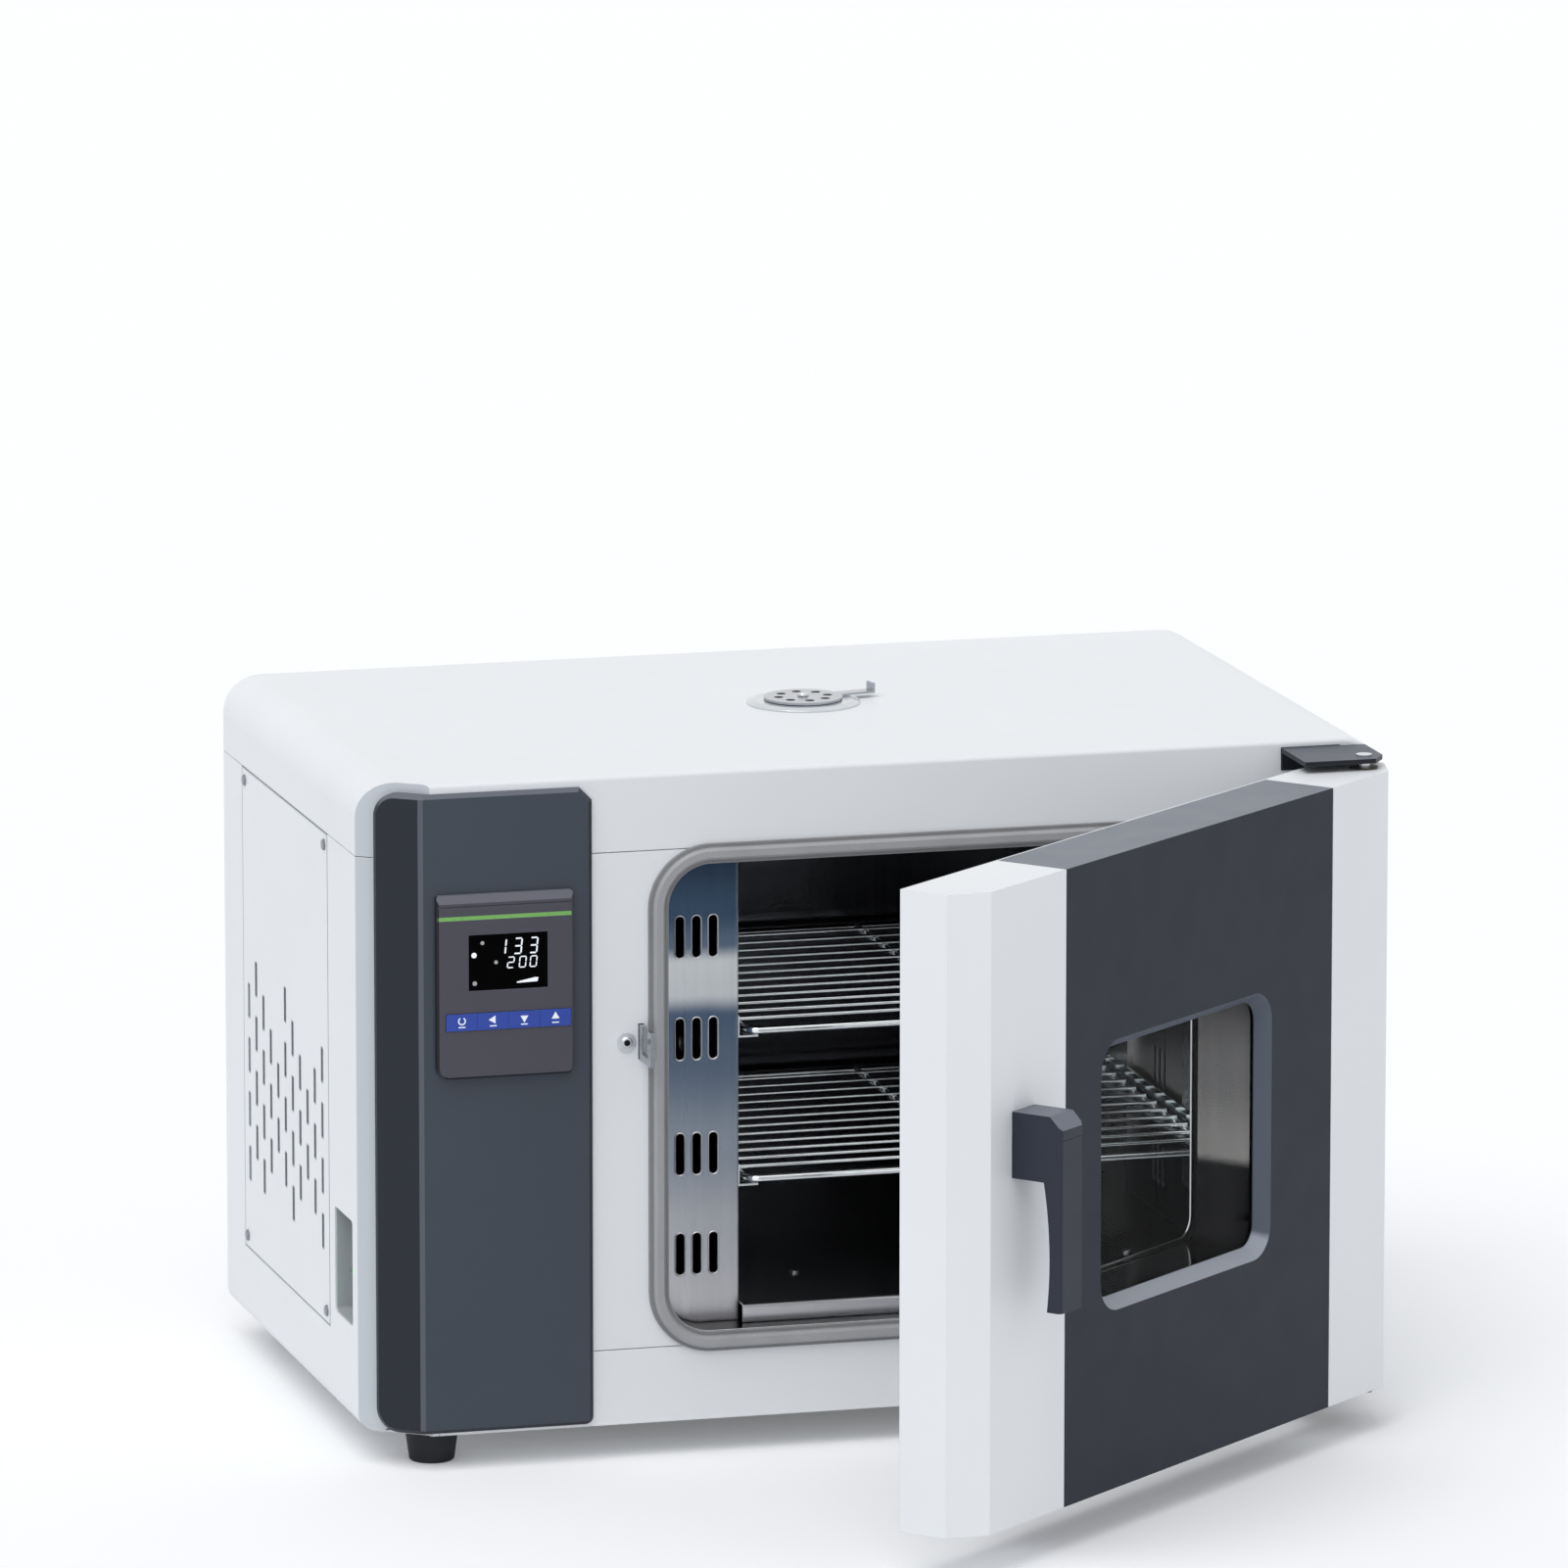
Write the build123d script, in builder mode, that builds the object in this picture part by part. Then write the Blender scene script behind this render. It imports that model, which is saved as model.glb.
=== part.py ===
from build123d import *
from math import hypot, radians, tan
import os

# Bench drying oven with forced air, seen with its door part open.
# +X runs to the user's right, +Y to the back and +Z up, in millimetres.
# The origin is on the bench, in the middle of the floor that the casing and the open door cover.
# Distances named ..._FROM_LEFT, ..._FROM_RIGHT, ..._FROM_FRONT, ..._FROM_BACK, ..._FROM_TOP and
# ..._UP are measured from the casing's left and right sides, front face, back, roof and underside.

# Casing
BODY_WIDTH = 650.0
BODY_DEPTH = 390.0
BODY_HEIGHT = 410.0
FOOT_HEIGHT = 22.0
FRONT_SETBACK = 15.5
SHEET = 1.2
SEAM = 0.5
CORNER_X = 40.0
CORNER_Y = 30.0
TOP_RADIUS = 24.0
TOP_EDGE_RADIUS = 3.0
BOTTOM_RADIUS = 10.0
COVER_SEAM_FROM_TOP = 48.0
SKIRT_SEAM_UP = 48.0
FRONT_RETURN = 4.0
BOTTOM_RETURN = 15.0
TRAY_LIP = 10.0
TRAY_LAP = 4.5
REAR_LIP_HEIGHT = 20.0
FIT_GAP = 0.3
SLIDE_GAP = 0.3
RUNNING_GAP = 0.1
CUT_PAST = 1.0

# Feet
FOOT_TOP_RADIUS = 17.0
FOOT_BOTTOM_RADIUS = 14.0
FOOT_RECESS_RADIUS = 6.0
FOOT_RECESS_DEPTH = 9.0
FOOT_BEVEL = 1.0
FOOT_INSET_X = 47.0
FOOT_INSET_Y = 32.0

# Side access cover and its vent slots
ACCESS_FROM_FRONT = 104.0
ACCESS_FROM_BACK = 52.0
ACCESS_UP = 49.0
ACCESS_RIM = 16.0
ACCESS_SCREW_INSET = 8.0
SCREW_RADIUS = 2.0
SCREW_HEAD_RADIUS = 3.6
SCREW_HEAD_HEIGHT = 1.6
SCREW_LENGTH = 6.0
VENT_SLOT_LENGTH = 21.3
VENT_SLOT_WIDTH = 4.6
VENT_PITCH_Y = 20.1
VENT_HALF_STEP = 17.7
VENT_LAST_COLUMN_FROM_FRONT = 121.6
VENT_FIRST_ROW_UP = 105.7
# For each column of slots, from the back to the front: its first half step up and its slots
VENT_COLUMNS = ((0, 4), (1, 4), (0, 4), (1, 3), (2, 2), (1, 4), (0, 4), (1, 3), (2, 2), (1, 3), (0, 4))

# Chamber
CHAMBER_FROM_LEFT = 190.5
CHAMBER_FROM_RIGHT = 43.5
CHAMBER_UP = 56.0
CHAMBER_FROM_TOP = 58.0
CHAMBER_FROM_BACK = 45.0
CHAMBER_CORNER = 27.5
LINER_SHEET = 1.0
LINER_FLANGE = 12.0
INSULATION_FROM_FRONT = 10.0
INSULATION_BEHIND = 30.0
INSULATION_ABOVE = 36.0
PARTITION_BESIDE = 37.5
PARTITION_FOOT = 14.0

# Door seal on the front frame
GASKET_WIDTH = 12.5
GASKET_BASE = 2.2
GASKET_BULB_INSET = 2.5
GASKET_BULB_EDGE = 1.6

# Air ducts at the two sides of the chamber
DUCT_FROM_FRONT = 24.0
DUCT_SHEET = 1.0
LEFT_DUCT_DEPTH = 51.5
RIGHT_DUCT_DEPTH = 40.5
DUCT_SLOT_LENGTH = 26.0
DUCT_SLOT_WIDTH = 5.2
DUCT_SLOT_PITCH = 10.7
DUCT_SLOT_GROUPS_UP = (100.0, 163.5)
DUCT_SLOT_GROUPS_FROM_TOP = (173.5, 109.0)
INTAKE_HOLE_RADIUS = 5.0
INTAKE_RING_RADII = (18.0, 36.0)
INTAKE_RING_HOLES = (6, 12)

# Raised chamber floor over the heater
FLOOR_RISE = 12.0
FLOOR_PLATE = 1.2
FLOOR_FROM_FRONT = 15.0
FLOOR_SCREW_FROM_LEFT_WALL = 54.0
FLOOR_SCREW_FROM_RIGHT_WALL = 53.0
FLOOR_SCREWS_FROM_FRONT = 90.0
FLOOR_BOSS_RADIUS = 5.0

# Heater under the floor
HEATER_RADIUS = 3.2
HEATER_RISE = 5.4
HEATER_MARGIN = 16.0
HEATER_RUNS = 4
HEATER_PITCH = 64.0
HEATER_FIRST_RUN_FROM_FRONT = 70.0
HEATER_TERMINAL = 12.0

# Shelf supports and wire shelves
PILASTER_WIDTH = 60.0
PILASTER_DEPTH = 4.0
PILASTER_SHEET = 1.0
PILASTER_FROM_FRONT = 72.0
PILASTER_BEFORE_WALL = 33.0
PILASTER_ABOVE_FLOOR = 44.0
PILASTER_BELOW_CEILING = 22.0
NOTCH_PITCH = 31.5
NOTCH_FIRST_RISE = 10.0
NOTCH_LAST_GAP = 10.0
NOTCH_HEIGHT = 10.6
NOTCH_WIDTH = 20.0
UPPER_NOTCH = 4
LOWER_NOTCH = 1
RUNNER_SHEET = 1.2
RUNNER_LEDGE = 12.0
RUNNER_LEG = 14.0
RUNNER_FROM_FRONT = 40.0
RUNNER_BEFORE_WALL = 9.0
RUNNER_HOOK = 2.4
SHELF_FROM_FRONT = 38.0
SHELF_BEFORE_WALL = 11.0
SHELF_ROD_RADIUS = 2.5
SHELF_WIRE_RADIUS = 1.4
SHELF_WIRES = 12
SHELF_CORNER = 9.0
SHELF_SIDE_GAP = 1.8
SHELF_WELD = 0.8

# Fan
FAN_FROM_FRONT = 195.0
IMPELLER_RADIUS = 52.0
IMPELLER_WIDTH = 26.0
IMPELLER_PLATE = 1.6
IMPELLER_BLADES = 12
IMPELLER_EYE = 32.0
IMPELLER_HUB_RADIUS = 9.0
IMPELLER_WALL_GAP = 8.0
IMPELLER_BLADE = 1.4
IMPELLER_LEAN = 32.0
SHAFT_CLEARANCE = 3.0
FAN_SHAFT_RADIUS = 4.0
MOTOR_RADIUS = 34.0
MOTOR_LENGTH = 46.0
MOTOR_PLATE = 3.0
MOTOR_PLATE_SIZE = 78.0
MOTOR_ROUND = 5.0
SHAFT_IN_MOTOR = 24.0

# Temperature sensor through the back of the chamber
SENSOR_FROM_LEFT = 216.0
SENSOR_FROM_TOP = 90.0
SENSOR_RADIUS = 2.5
SENSOR_REACH = 45.0
SENSOR_FLANGE_RADIUS = 9.0
SENSOR_FLANGE = 2.0
SENSOR_TAIL = 15.0
SENSOR_TIP_ROUND = 2.2

# Exhaust vent in the top
VENT_FROM_LEFT = 333.0
VENT_FROM_FRONT = 203.0
VENT_RADIUS = 36.0
VENT_NECK_RADIUS = 24.0
VENT_WALL = 1.5
VENT_PLATE = 2.5
VENT_HOLES = 8
VENT_HOLE_RADIUS = 3.0
VENT_HOLE_CIRCLE = 16.0
DAMPER_RADIUS = 25.0
DAMPER_PLATE = 1.5
DAMPER_TAB_REACH = 49.0
DAMPER_TAB_WIDTH = 9.0
DAMPER_TAB_RISE = 5.0
DAMPER_TAB_ANGLE = 12.0

# Control column
FASCIA_FROM_LEFT = 11.6
FASCIA_BEFORE_CHAMBER = 48.5
FASCIA_THICKNESS = 4.0
FASCIA_SIDE_THICKNESS = 7.4
FASCIA_UP = 2.0
FASCIA_FROM_TOP = 6.0
FASCIA_ROUND = 15.0
FASCIA_CUT = 8.0
FASCIA_LOW_ROUND = 5.0
FASCIA_BEVEL = 2.5
FASCIA_BEND_BEVEL = 1.7

# Controller in the fascia
PANEL_FROM_LEFT = 42.0
PANEL_WIDTH = 86.5
PANEL_FROM_TOP = 68.5
PANEL_HEIGHT = 115.0
PANEL_PROUD = 5.0
PANEL_FLANGE = 5.0
PANEL_TOP_ROUND = 2.0
PANEL_BEVEL = 1.4
PANEL_BROW_HEIGHT = 5.0
PANEL_BROW_DEPTH = 2.2
GROOVE_DROP = 6.6
GROOVE_HEIGHT = 0.9
GROOVE_DEPTH = 0.6
DISPLAY_INSET = 20.0
DISPLAY_FROM_RIGHT = 16.5
DISPLAY_DROP = 25.0
DISPLAY_HEIGHT = 35.0
DISPLAY_THICKNESS = 2.0
DISPLAY_SUNK = 0.6
DISPLAY_LEDGE = 2.0
STRIP_DROP = 13.0
STRIP_HEIGHT = 2.5
STRIP_DEPTH = 1.2
KEYS_INSET = 5.5
KEYS_FROM_RIGHT = 2.0
KEYS_DROP = 74.0
KEYS_HEIGHT = 10.5
KEY_NAMES = ("set_key", "shift_key", "down_key", "up_key")
KEY_PROUD = 0.7
KEY_TRAVEL = 0.6
KEY_LIP = 1.5
KEY_LIP_THICKNESS = 1.2
KEY_PLAY = 0.2
HOUSING_DEPTH = 46.0
HOUSING_WALL = 2.0
BOARD_THICKNESS = 1.6
BOARD_SETBACK = 3.4
BOARD_DISPLAY_MARGIN = 3.0
SWITCH_DOT_RADIUS = 2.5

# Switch recess low on the left side
RECESS_FROM_FRONT = 43.0
RECESS_WIDTH = 47.0
RECESS_UP = 62.0
RECESS_HEIGHT = 67.0
RECESS_DEPTH = 13.0
RECESS_CORNER = 3.0
RECESS_WALL = 1.5
RECESS_FLANGE = 5.0
ROCKER_SPACING = 32.5
ROCKER_FROM_FRONT = 70.0
ROCKER_WIDTH = 21.0
ROCKER_RADIUS = 13.4
ROCKER_PIVOT = 3.0
ROCKER_APEX = 5.5
ROCKER_SWING = 16.0
ROCKER_FRAME_WIDTH = 27.0
ROCKER_FRAME_HEIGHT = 31.0
ROCKER_FRAME = 2.0
ROCKER_BODY_HEIGHT = 29.2
ROCKER_BODY_WIDTH = 24.0
ROCKER_BODY_DEPTH = 22.0

# Power inlet in the back
INLET_FROM_LEFT = 75.0
INLET_UP = 60.0
INLET_WIDTH = 28.0
INLET_HEIGHT = 20.0
INLET_DEPTH = 24.0
INLET_FLANGE_WIDTH = 50.0
INLET_FLANGE_HEIGHT = 27.0
INLET_FLANGE = 2.5
INLET_CORNER = 5.0
INLET_WALL = 1.6
BLADE_SPREAD = 7.0
BLADE_STAGGER = 2.0
BLADE_WIDTH = 2.0
BLADE_HEIGHT = 4.0
BLADE_SUNK = 4.0
BACK_LOUVRES = 8
BACK_LOUVRE_PITCH = 12.0
BACK_LOUVRE_LENGTH = 90.0
BACK_LOUVRE_WIDTH = 4.5
BACK_LOUVRES_UP = 200.0

# Door
DOOR_OPEN = 41.0
DOOR_FROM_LEFT = 149.3
DOOR_FROM_RIGHT = 1.7
DOOR_UP = 5.8
DOOR_FROM_TOP = 12.2
DOOR_THICKNESS = 50.0
DOOR_GAP = 6.0
DOOR_CHAMFER_DEPTH = 16.8
DOOR_CHAMFER_WIDTH = 22.4
DOOR_BACK_BEVEL_X = 12.0
DOOR_BACK_BEVEL_Y = 6.5
DOOR_RIM = 14.0
CENTRE_FROM_EDGE = 105.4
CENTRE_FROM_HINGE_EDGE = 88.3
CENTRE_PANEL = 2.5
WINDOW_FROM_EDGE = 145.0
WINDOW_FROM_HINGE_EDGE = 158.0
WINDOW_UP = 116.5
WINDOW_FROM_TOP = 126.0
WINDOW_CORNER = 20.0
WINDOW_BEVEL = 7.0
WINDOW_DEPTH = 9.5
WINDOW_FRAME = 2.0
WINDOW_CLEARANCE = 2.0
GLASS = 4.0
GLASS_LAP = 9.0
SPACER_WALL = 7.0
INNER_SHEET = 1.0
PLATEAU_RISE = 6.0
PLATEAU_MARGIN = 5.5
PLATEAU_CORNER = 22.0
PLATEAU_EDGE = 3.0

# Hinges
HINGE_FROM_RIGHT = 22.0
HINGE_BEFORE_FRONT = 37.0
PIN_RADIUS = 4.0
PIN_DEPTH = 20.0
PIN_HEAD_RADIUS = 5.0
PIN_HEAD = 1.0
BUSH_WALL = 3.0
BUSH_LENGTH = 24.0
BUSH_FLANGE_RADIUS = 8.8
BUSH_CLEARANCE = 7.0
BRACKET = 3.0
BRACKET_LEFT = 42.0
BRACKET_RIGHT = 12.0
BRACKET_FRONT = 12.0
BRACKET_CUT_X = 8.0
BRACKET_CUT_Y = 12.0
BRACKET_LEG = 14.0
BRACKET_TONGUE = 38.0
BRACKET_STANDOFF = 1.0
BRACKET_BACKING = 3.0
BRACKET_BACKING_MARGIN = 6.0
UPPER_BRACKET_GAP = 4.6
LOWER_BRACKET_GAP = 1.2
THRUST_GAP = 0.3

# Handle and latch
HANDLE_FROM_EDGE = 57.8
HANDLE_UP = 240.5
HANDLE_WIDTH = 25.0
HANDLE_HEAD = 40.5
HANDLE_LENGTH = 119.5
HANDLE_REACH = 35.0
HANDLE_CHAMFER = 8.0
GRIP_END = 9.8
GRIP_WAIST = 8.2
GRIP_ROOT = 12.3
HANDLE_EDGE = 2.0
HANDLE_SEAM_DROP = 6.0
HANDLE_SEAM = 0.5
HANDLE_BASE_GAP = 0.3
SPINDLE_RADIUS = 6.0
SPINDLE_IN_HANDLE = 12.0
CAM_FROM_BACK = 8.0
CAM_THICKNESS = 6.0
CAM_HUB_RADIUS = 10.0
CAM_REACH = 42.0
CAM_FINGER = 8.0
STRIKER_FROM_DOOR_EDGE = 22.7
STRIKER_PLATE = 3.0
STRIKER_REACH = 28.0
STRIKER_BELOW_SPINDLE = 9.5
STRIKER_HEIGHT = 22.0
STRIKER_BAR = 4.5
STRIKER_TIP = 6.5
STRIKER_ROOT = 9.0
STRIKER_BASE_WIDTH = 17.0
STRIKER_BASE = 2.0
STRIKER_SCREW_ASIDE = 8.0
STRIKER_WASHER_RADIUS = 6.0
STRIKER_WASHER = 1.0
SOCKET_RADIUS = 1.8
SOCKET_DEPTH = 1.2
POCKET_MARGIN = 6.0
STRIKER_SLOT_MARGIN = 4.5
SPINDLE_CLEARANCE = 1.0

# Worked out from the sizes above
LEFT = -BODY_WIDTH / 2
RIGHT = BODY_WIDTH / 2
FRONT = -FRONT_SETBACK
BACK = FRONT + BODY_DEPTH
BASE = FOOT_HEIGHT
TOP = BASE + BODY_HEIGHT
COVER_SEAM_Z = TOP - COVER_SEAM_FROM_TOP
SKIRT_SEAM_Z = BASE + SKIRT_SEAM_UP
CASING = (
    (LEFT, BACK),
    (LEFT, FRONT + CORNER_Y),
    (LEFT + CORNER_X, FRONT),
    (RIGHT, FRONT),
    (RIGHT, BACK),
)
CHAMBER_X0 = LEFT + CHAMBER_FROM_LEFT
CHAMBER_X1 = RIGHT - CHAMBER_FROM_RIGHT
CHAMBER_WIDTH = CHAMBER_X1 - CHAMBER_X0
CHAMBER_X = (CHAMBER_X0 + CHAMBER_X1) / 2
CHAMBER_Z0 = BASE + CHAMBER_UP
CHAMBER_Z1 = TOP - CHAMBER_FROM_TOP
CHAMBER_HEIGHT = CHAMBER_Z1 - CHAMBER_Z0
CHAMBER_Z = (CHAMBER_Z0 + CHAMBER_Z1) / 2
CHAMBER_BACK = BACK - CHAMBER_FROM_BACK
CHAMBER_DEPTH = CHAMBER_BACK - FRONT
PARTITION_X = CHAMBER_X0 - PARTITION_BESIDE
DUCT_Y = FRONT + DUCT_FROM_FRONT
LEFT_WALL_X = CHAMBER_X0 + LEFT_DUCT_DEPTH
RIGHT_WALL_X = CHAMBER_X1 - RIGHT_DUCT_DEPTH
FLOOR_Z = CHAMBER_Z0 + FLOOR_RISE
FAN_Y = FRONT + FAN_FROM_FRONT
FAN_Z = CHAMBER_Z
VENT_X = LEFT + VENT_FROM_LEFT
VENT_Y = FRONT + VENT_FROM_FRONT
DOOR_BACK = FRONT - DOOR_GAP
DOOR_FRONT = DOOR_BACK - DOOR_THICKNESS
DOOR_X0 = LEFT + DOOR_FROM_LEFT
DOOR_X1 = RIGHT - DOOR_FROM_RIGHT
DOOR_Z0 = BASE + DOOR_UP
DOOR_Z1 = TOP - DOOR_FROM_TOP
DOOR_HEIGHT = DOOR_Z1 - DOOR_Z0
CENTRE_X0 = DOOR_X0 + CENTRE_FROM_EDGE
CENTRE_X1 = DOOR_X1 - CENTRE_FROM_HINGE_EDGE
WINDOW_WIDTH = DOOR_X1 - WINDOW_FROM_HINGE_EDGE - DOOR_X0 - WINDOW_FROM_EDGE
WINDOW_HEIGHT = TOP - WINDOW_FROM_TOP - BASE - WINDOW_UP
WINDOW_X = DOOR_X0 + WINDOW_FROM_EDGE + WINDOW_WIDTH / 2
WINDOW_Z = BASE + WINDOW_UP + WINDOW_HEIGHT / 2
HINGE_X = RIGHT - HINGE_FROM_RIGHT
HINGE_Y = FRONT - HINGE_BEFORE_FRONT
HINGE_AXIS = Axis((HINGE_X, HINGE_Y, 0), (0, 0, 1))
HANDLE_X = DOOR_X0 + HANDLE_FROM_EDGE
HANDLE_Z = BASE + HANDLE_UP
CORNER_LENGTH = hypot(CORNER_X, CORNER_Y)
CORNER_REACH = CORNER_X * CORNER_Y / CORNER_LENGTH
TONGUE_X0 = HINGE_X - BRACKET_LEFT
TONGUE_X1 = TONGUE_X0 + BRACKET_TONGUE
UPPER_BRACKET_TOP = DOOR_Z1 + UPPER_BRACKET_GAP + BRACKET
LOWER_BRACKET_BOTTOM = DOOR_Z0 - LOWER_BRACKET_GAP - BRACKET


def facing(y):
    """A plane across the oven at y: its x is X, its y is Z, and it looks to the front."""
    return Plane.XZ.offset(-y)


def beside(x):
    """A plane along the oven at x: its x is Y, its y is Z, and it looks to the right."""
    return Plane.YZ.offset(x)


def block(x0, x1, y0, y1, z0, z1, mode=Mode.ADD):
    """A straight block between two limits on each axis."""
    with Locations(((x0 + x1) / 2, (y0 + y1) / 2, (z0 + z1) / 2)):
        Box(x1 - x0, y1 - y0, z1 - z0, mode=mode)


# Top cover: a lid with rounded side edges and a skirt all round
with BuildPart() as top_cover:
    with BuildSketch(Plane.XY.offset(COVER_SEAM_Z)):
        Polygon(*CASING, align=None)
    extrude(amount=TOP - COVER_SEAM_Z)
    crown = top_cover.edges().filter_by(Axis.Y).group_by(Axis.Z)[-1]
    fillet(crown, TOP_RADIUS)
    roof = top_cover.faces().sort_by(Axis.Z)[-1]
    fillet(roof.edges().filter_by(Axis.X).sort_by(Axis.Y)[0], TOP_EDGE_RADIUS)
    offset(amount=-SHEET, openings=top_cover.faces().sort_by(Axis.Z)[0])
    with Locations((VENT_X, VENT_Y, TOP)):
        Hole(VENT_NECK_RADIUS + FIT_GAP, depth=2 * SHEET)
    block(
        TONGUE_X0 - FIT_GAP,
        TONGUE_X1 + FIT_GAP,
        FRONT - SHEET,
        FRONT + SHEET,
        UPPER_BRACKET_TOP - BRACKET_LEG - FIT_GAP,
        UPPER_BRACKET_TOP + FIT_GAP,
        mode=Mode.SUBTRACT,
    )

# Left side: wraps the cut front corner and the underside, open where the access cover sits
SIDE_TOP = COVER_SEAM_Z - SEAM
SIDE_EDGE = LEFT + CORNER_X + FRONT_RETURN
ACCESS_Y0 = FRONT + ACCESS_FROM_FRONT
ACCESS_Y1 = BACK - ACCESS_FROM_BACK
ACCESS_WIDTH = ACCESS_Y1 - ACCESS_Y0
ACCESS_Z0 = BASE + ACCESS_UP
RECESS_Y = FRONT + RECESS_FROM_FRONT + RECESS_WIDTH / 2
RECESS_Z = BASE + RECESS_UP + RECESS_HEIGHT / 2
access_screw_spots = [
    (y, z)
    for y in (ACCESS_Y0 + ACCESS_SCREW_INSET, ACCESS_Y1 - ACCESS_SCREW_INSET)
    for z in (ACCESS_Z0 + ACCESS_SCREW_INSET, SIDE_TOP - ACCESS_SCREW_INSET)
]
with BuildPart() as left_side_panel:
    with BuildSketch(Plane.XY.offset(BASE)):
        Polygon(*CASING[:3], (SIDE_EDGE, FRONT), (SIDE_EDGE, BACK), align=None)
    extrude(amount=SIDE_TOP - BASE)
    hem = left_side_panel.edges().filter_by(Axis.Y).group_by(Axis.Z)[0].sort_by(Axis.X)[0]
    fillet(hem, BOTTOM_RADIUS)
    open_faces = [
        left_side_panel.faces().sort_by(Axis.Z)[-1],
        left_side_panel.faces().sort_by(Axis.X)[-1],
        left_side_panel.faces().sort_by(Axis.Y)[-1],
    ]
    offset(amount=-SHEET, openings=open_faces)
    block(
        LEFT + BOTTOM_RETURN,
        SIDE_EDGE + CUT_PAST,
        FRONT + SHEET,
        BACK + CUT_PAST,
        BASE - CUT_PAST,
        BASE + 2 * SHEET,
        mode=Mode.SUBTRACT,
    )
    block(
        LEFT - CUT_PAST,
        LEFT + SHEET,
        ACCESS_Y0 - SEAM,
        ACCESS_Y1 + SEAM,
        ACCESS_Z0 - SEAM,
        SIDE_TOP + CUT_PAST,
        mode=Mode.SUBTRACT,
    )
    with BuildSketch(beside(LEFT)):
        with Locations((RECESS_Y, RECESS_Z)):
            RectangleRounded(RECESS_WIDTH, RECESS_HEIGHT, RECESS_CORNER)
    extrude(amount=SHEET, mode=Mode.SUBTRACT)
    # Joggled rim behind the opening, which carries the cover's screws
    with BuildSketch(beside(LEFT + SHEET)):
        with Locations(((ACCESS_Y0 + ACCESS_Y1) / 2, (ACCESS_Z0 + SIDE_TOP) / 2)):
            Rectangle(ACCESS_WIDTH + ACCESS_RIM, SIDE_TOP - ACCESS_Z0 + ACCESS_RIM)
            Rectangle(
                ACCESS_WIDTH - 2 * ACCESS_RIM,
                SIDE_TOP - ACCESS_Z0 - 2 * ACCESS_RIM,
                mode=Mode.SUBTRACT,
            )
        with Locations((FRONT, SIDE_TOP)):
            Rectangle(BODY_DEPTH, ACCESS_RIM, align=(Align.MIN, Align.MIN), mode=Mode.SUBTRACT)
        with Locations(*access_screw_spots):
            Circle(SCREW_RADIUS + FIT_GAP, mode=Mode.SUBTRACT)
    extrude(amount=SHEET)

# Access cover with its staggered vent slots, flush in the left side
slot_spots = [
    (
        FRONT + VENT_LAST_COLUMN_FROM_FRONT + (len(VENT_COLUMNS) - 1 - column) * VENT_PITCH_Y,
        BASE + VENT_FIRST_ROW_UP + (first + 2 * row) * VENT_HALF_STEP,
    )
    for column, (first, count) in enumerate(VENT_COLUMNS)
    for row in range(count)
]
with BuildPart() as side_access_cover:
    with BuildSketch(beside(LEFT)):
        with Locations(((ACCESS_Y0 + ACCESS_Y1) / 2, (ACCESS_Z0 + SIDE_TOP) / 2)):
            Rectangle(ACCESS_WIDTH, SIDE_TOP - ACCESS_Z0)
        with Locations(*slot_spots):
            Rectangle(VENT_SLOT_WIDTH, VENT_SLOT_LENGTH, mode=Mode.SUBTRACT)
        with Locations(*access_screw_spots):
            Circle(SCREW_RADIUS + FIT_GAP, mode=Mode.SUBTRACT)
    extrude(amount=SHEET)

with BuildPart() as access_cover_screws:
    with BuildSketch(beside(LEFT)):
        with Locations(*access_screw_spots):
            Circle(SCREW_HEAD_RADIUS)
    extrude(amount=-SCREW_HEAD_HEIGHT)
    chamfer(access_cover_screws.faces().group_by(Axis.X)[0].edges(), SCREW_HEAD_HEIGHT / 2)
    with BuildSketch(beside(LEFT)):
        with Locations(*access_screw_spots):
            Circle(SCREW_RADIUS)
    extrude(amount=SCREW_LENGTH)

# Right side: a plain wall with the same rolled lower edge
with BuildPart() as right_side_panel:
    block(RIGHT - CORNER_X, RIGHT, FRONT, BACK, BASE, SIDE_TOP)
    hem = right_side_panel.edges().filter_by(Axis.Y).group_by(Axis.Z)[0].sort_by(Axis.X)[-1]
    fillet(hem, BOTTOM_RADIUS)
    open_faces = [
        right_side_panel.faces().sort_by(Axis.Z)[-1],
        right_side_panel.faces().sort_by(Axis.X)[0],
        right_side_panel.faces().sort_by(Axis.Y)[0],
        right_side_panel.faces().sort_by(Axis.Y)[-1],
    ]
    offset(amount=-SHEET, openings=open_faces)
    block(
        RIGHT - CORNER_X - CUT_PAST,
        RIGHT - BOTTOM_RETURN,
        FRONT - CUT_PAST,
        BACK + CUT_PAST,
        BASE - CUT_PAST,
        BASE + 2 * SHEET,
        mode=Mode.SUBTRACT,
    )

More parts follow.
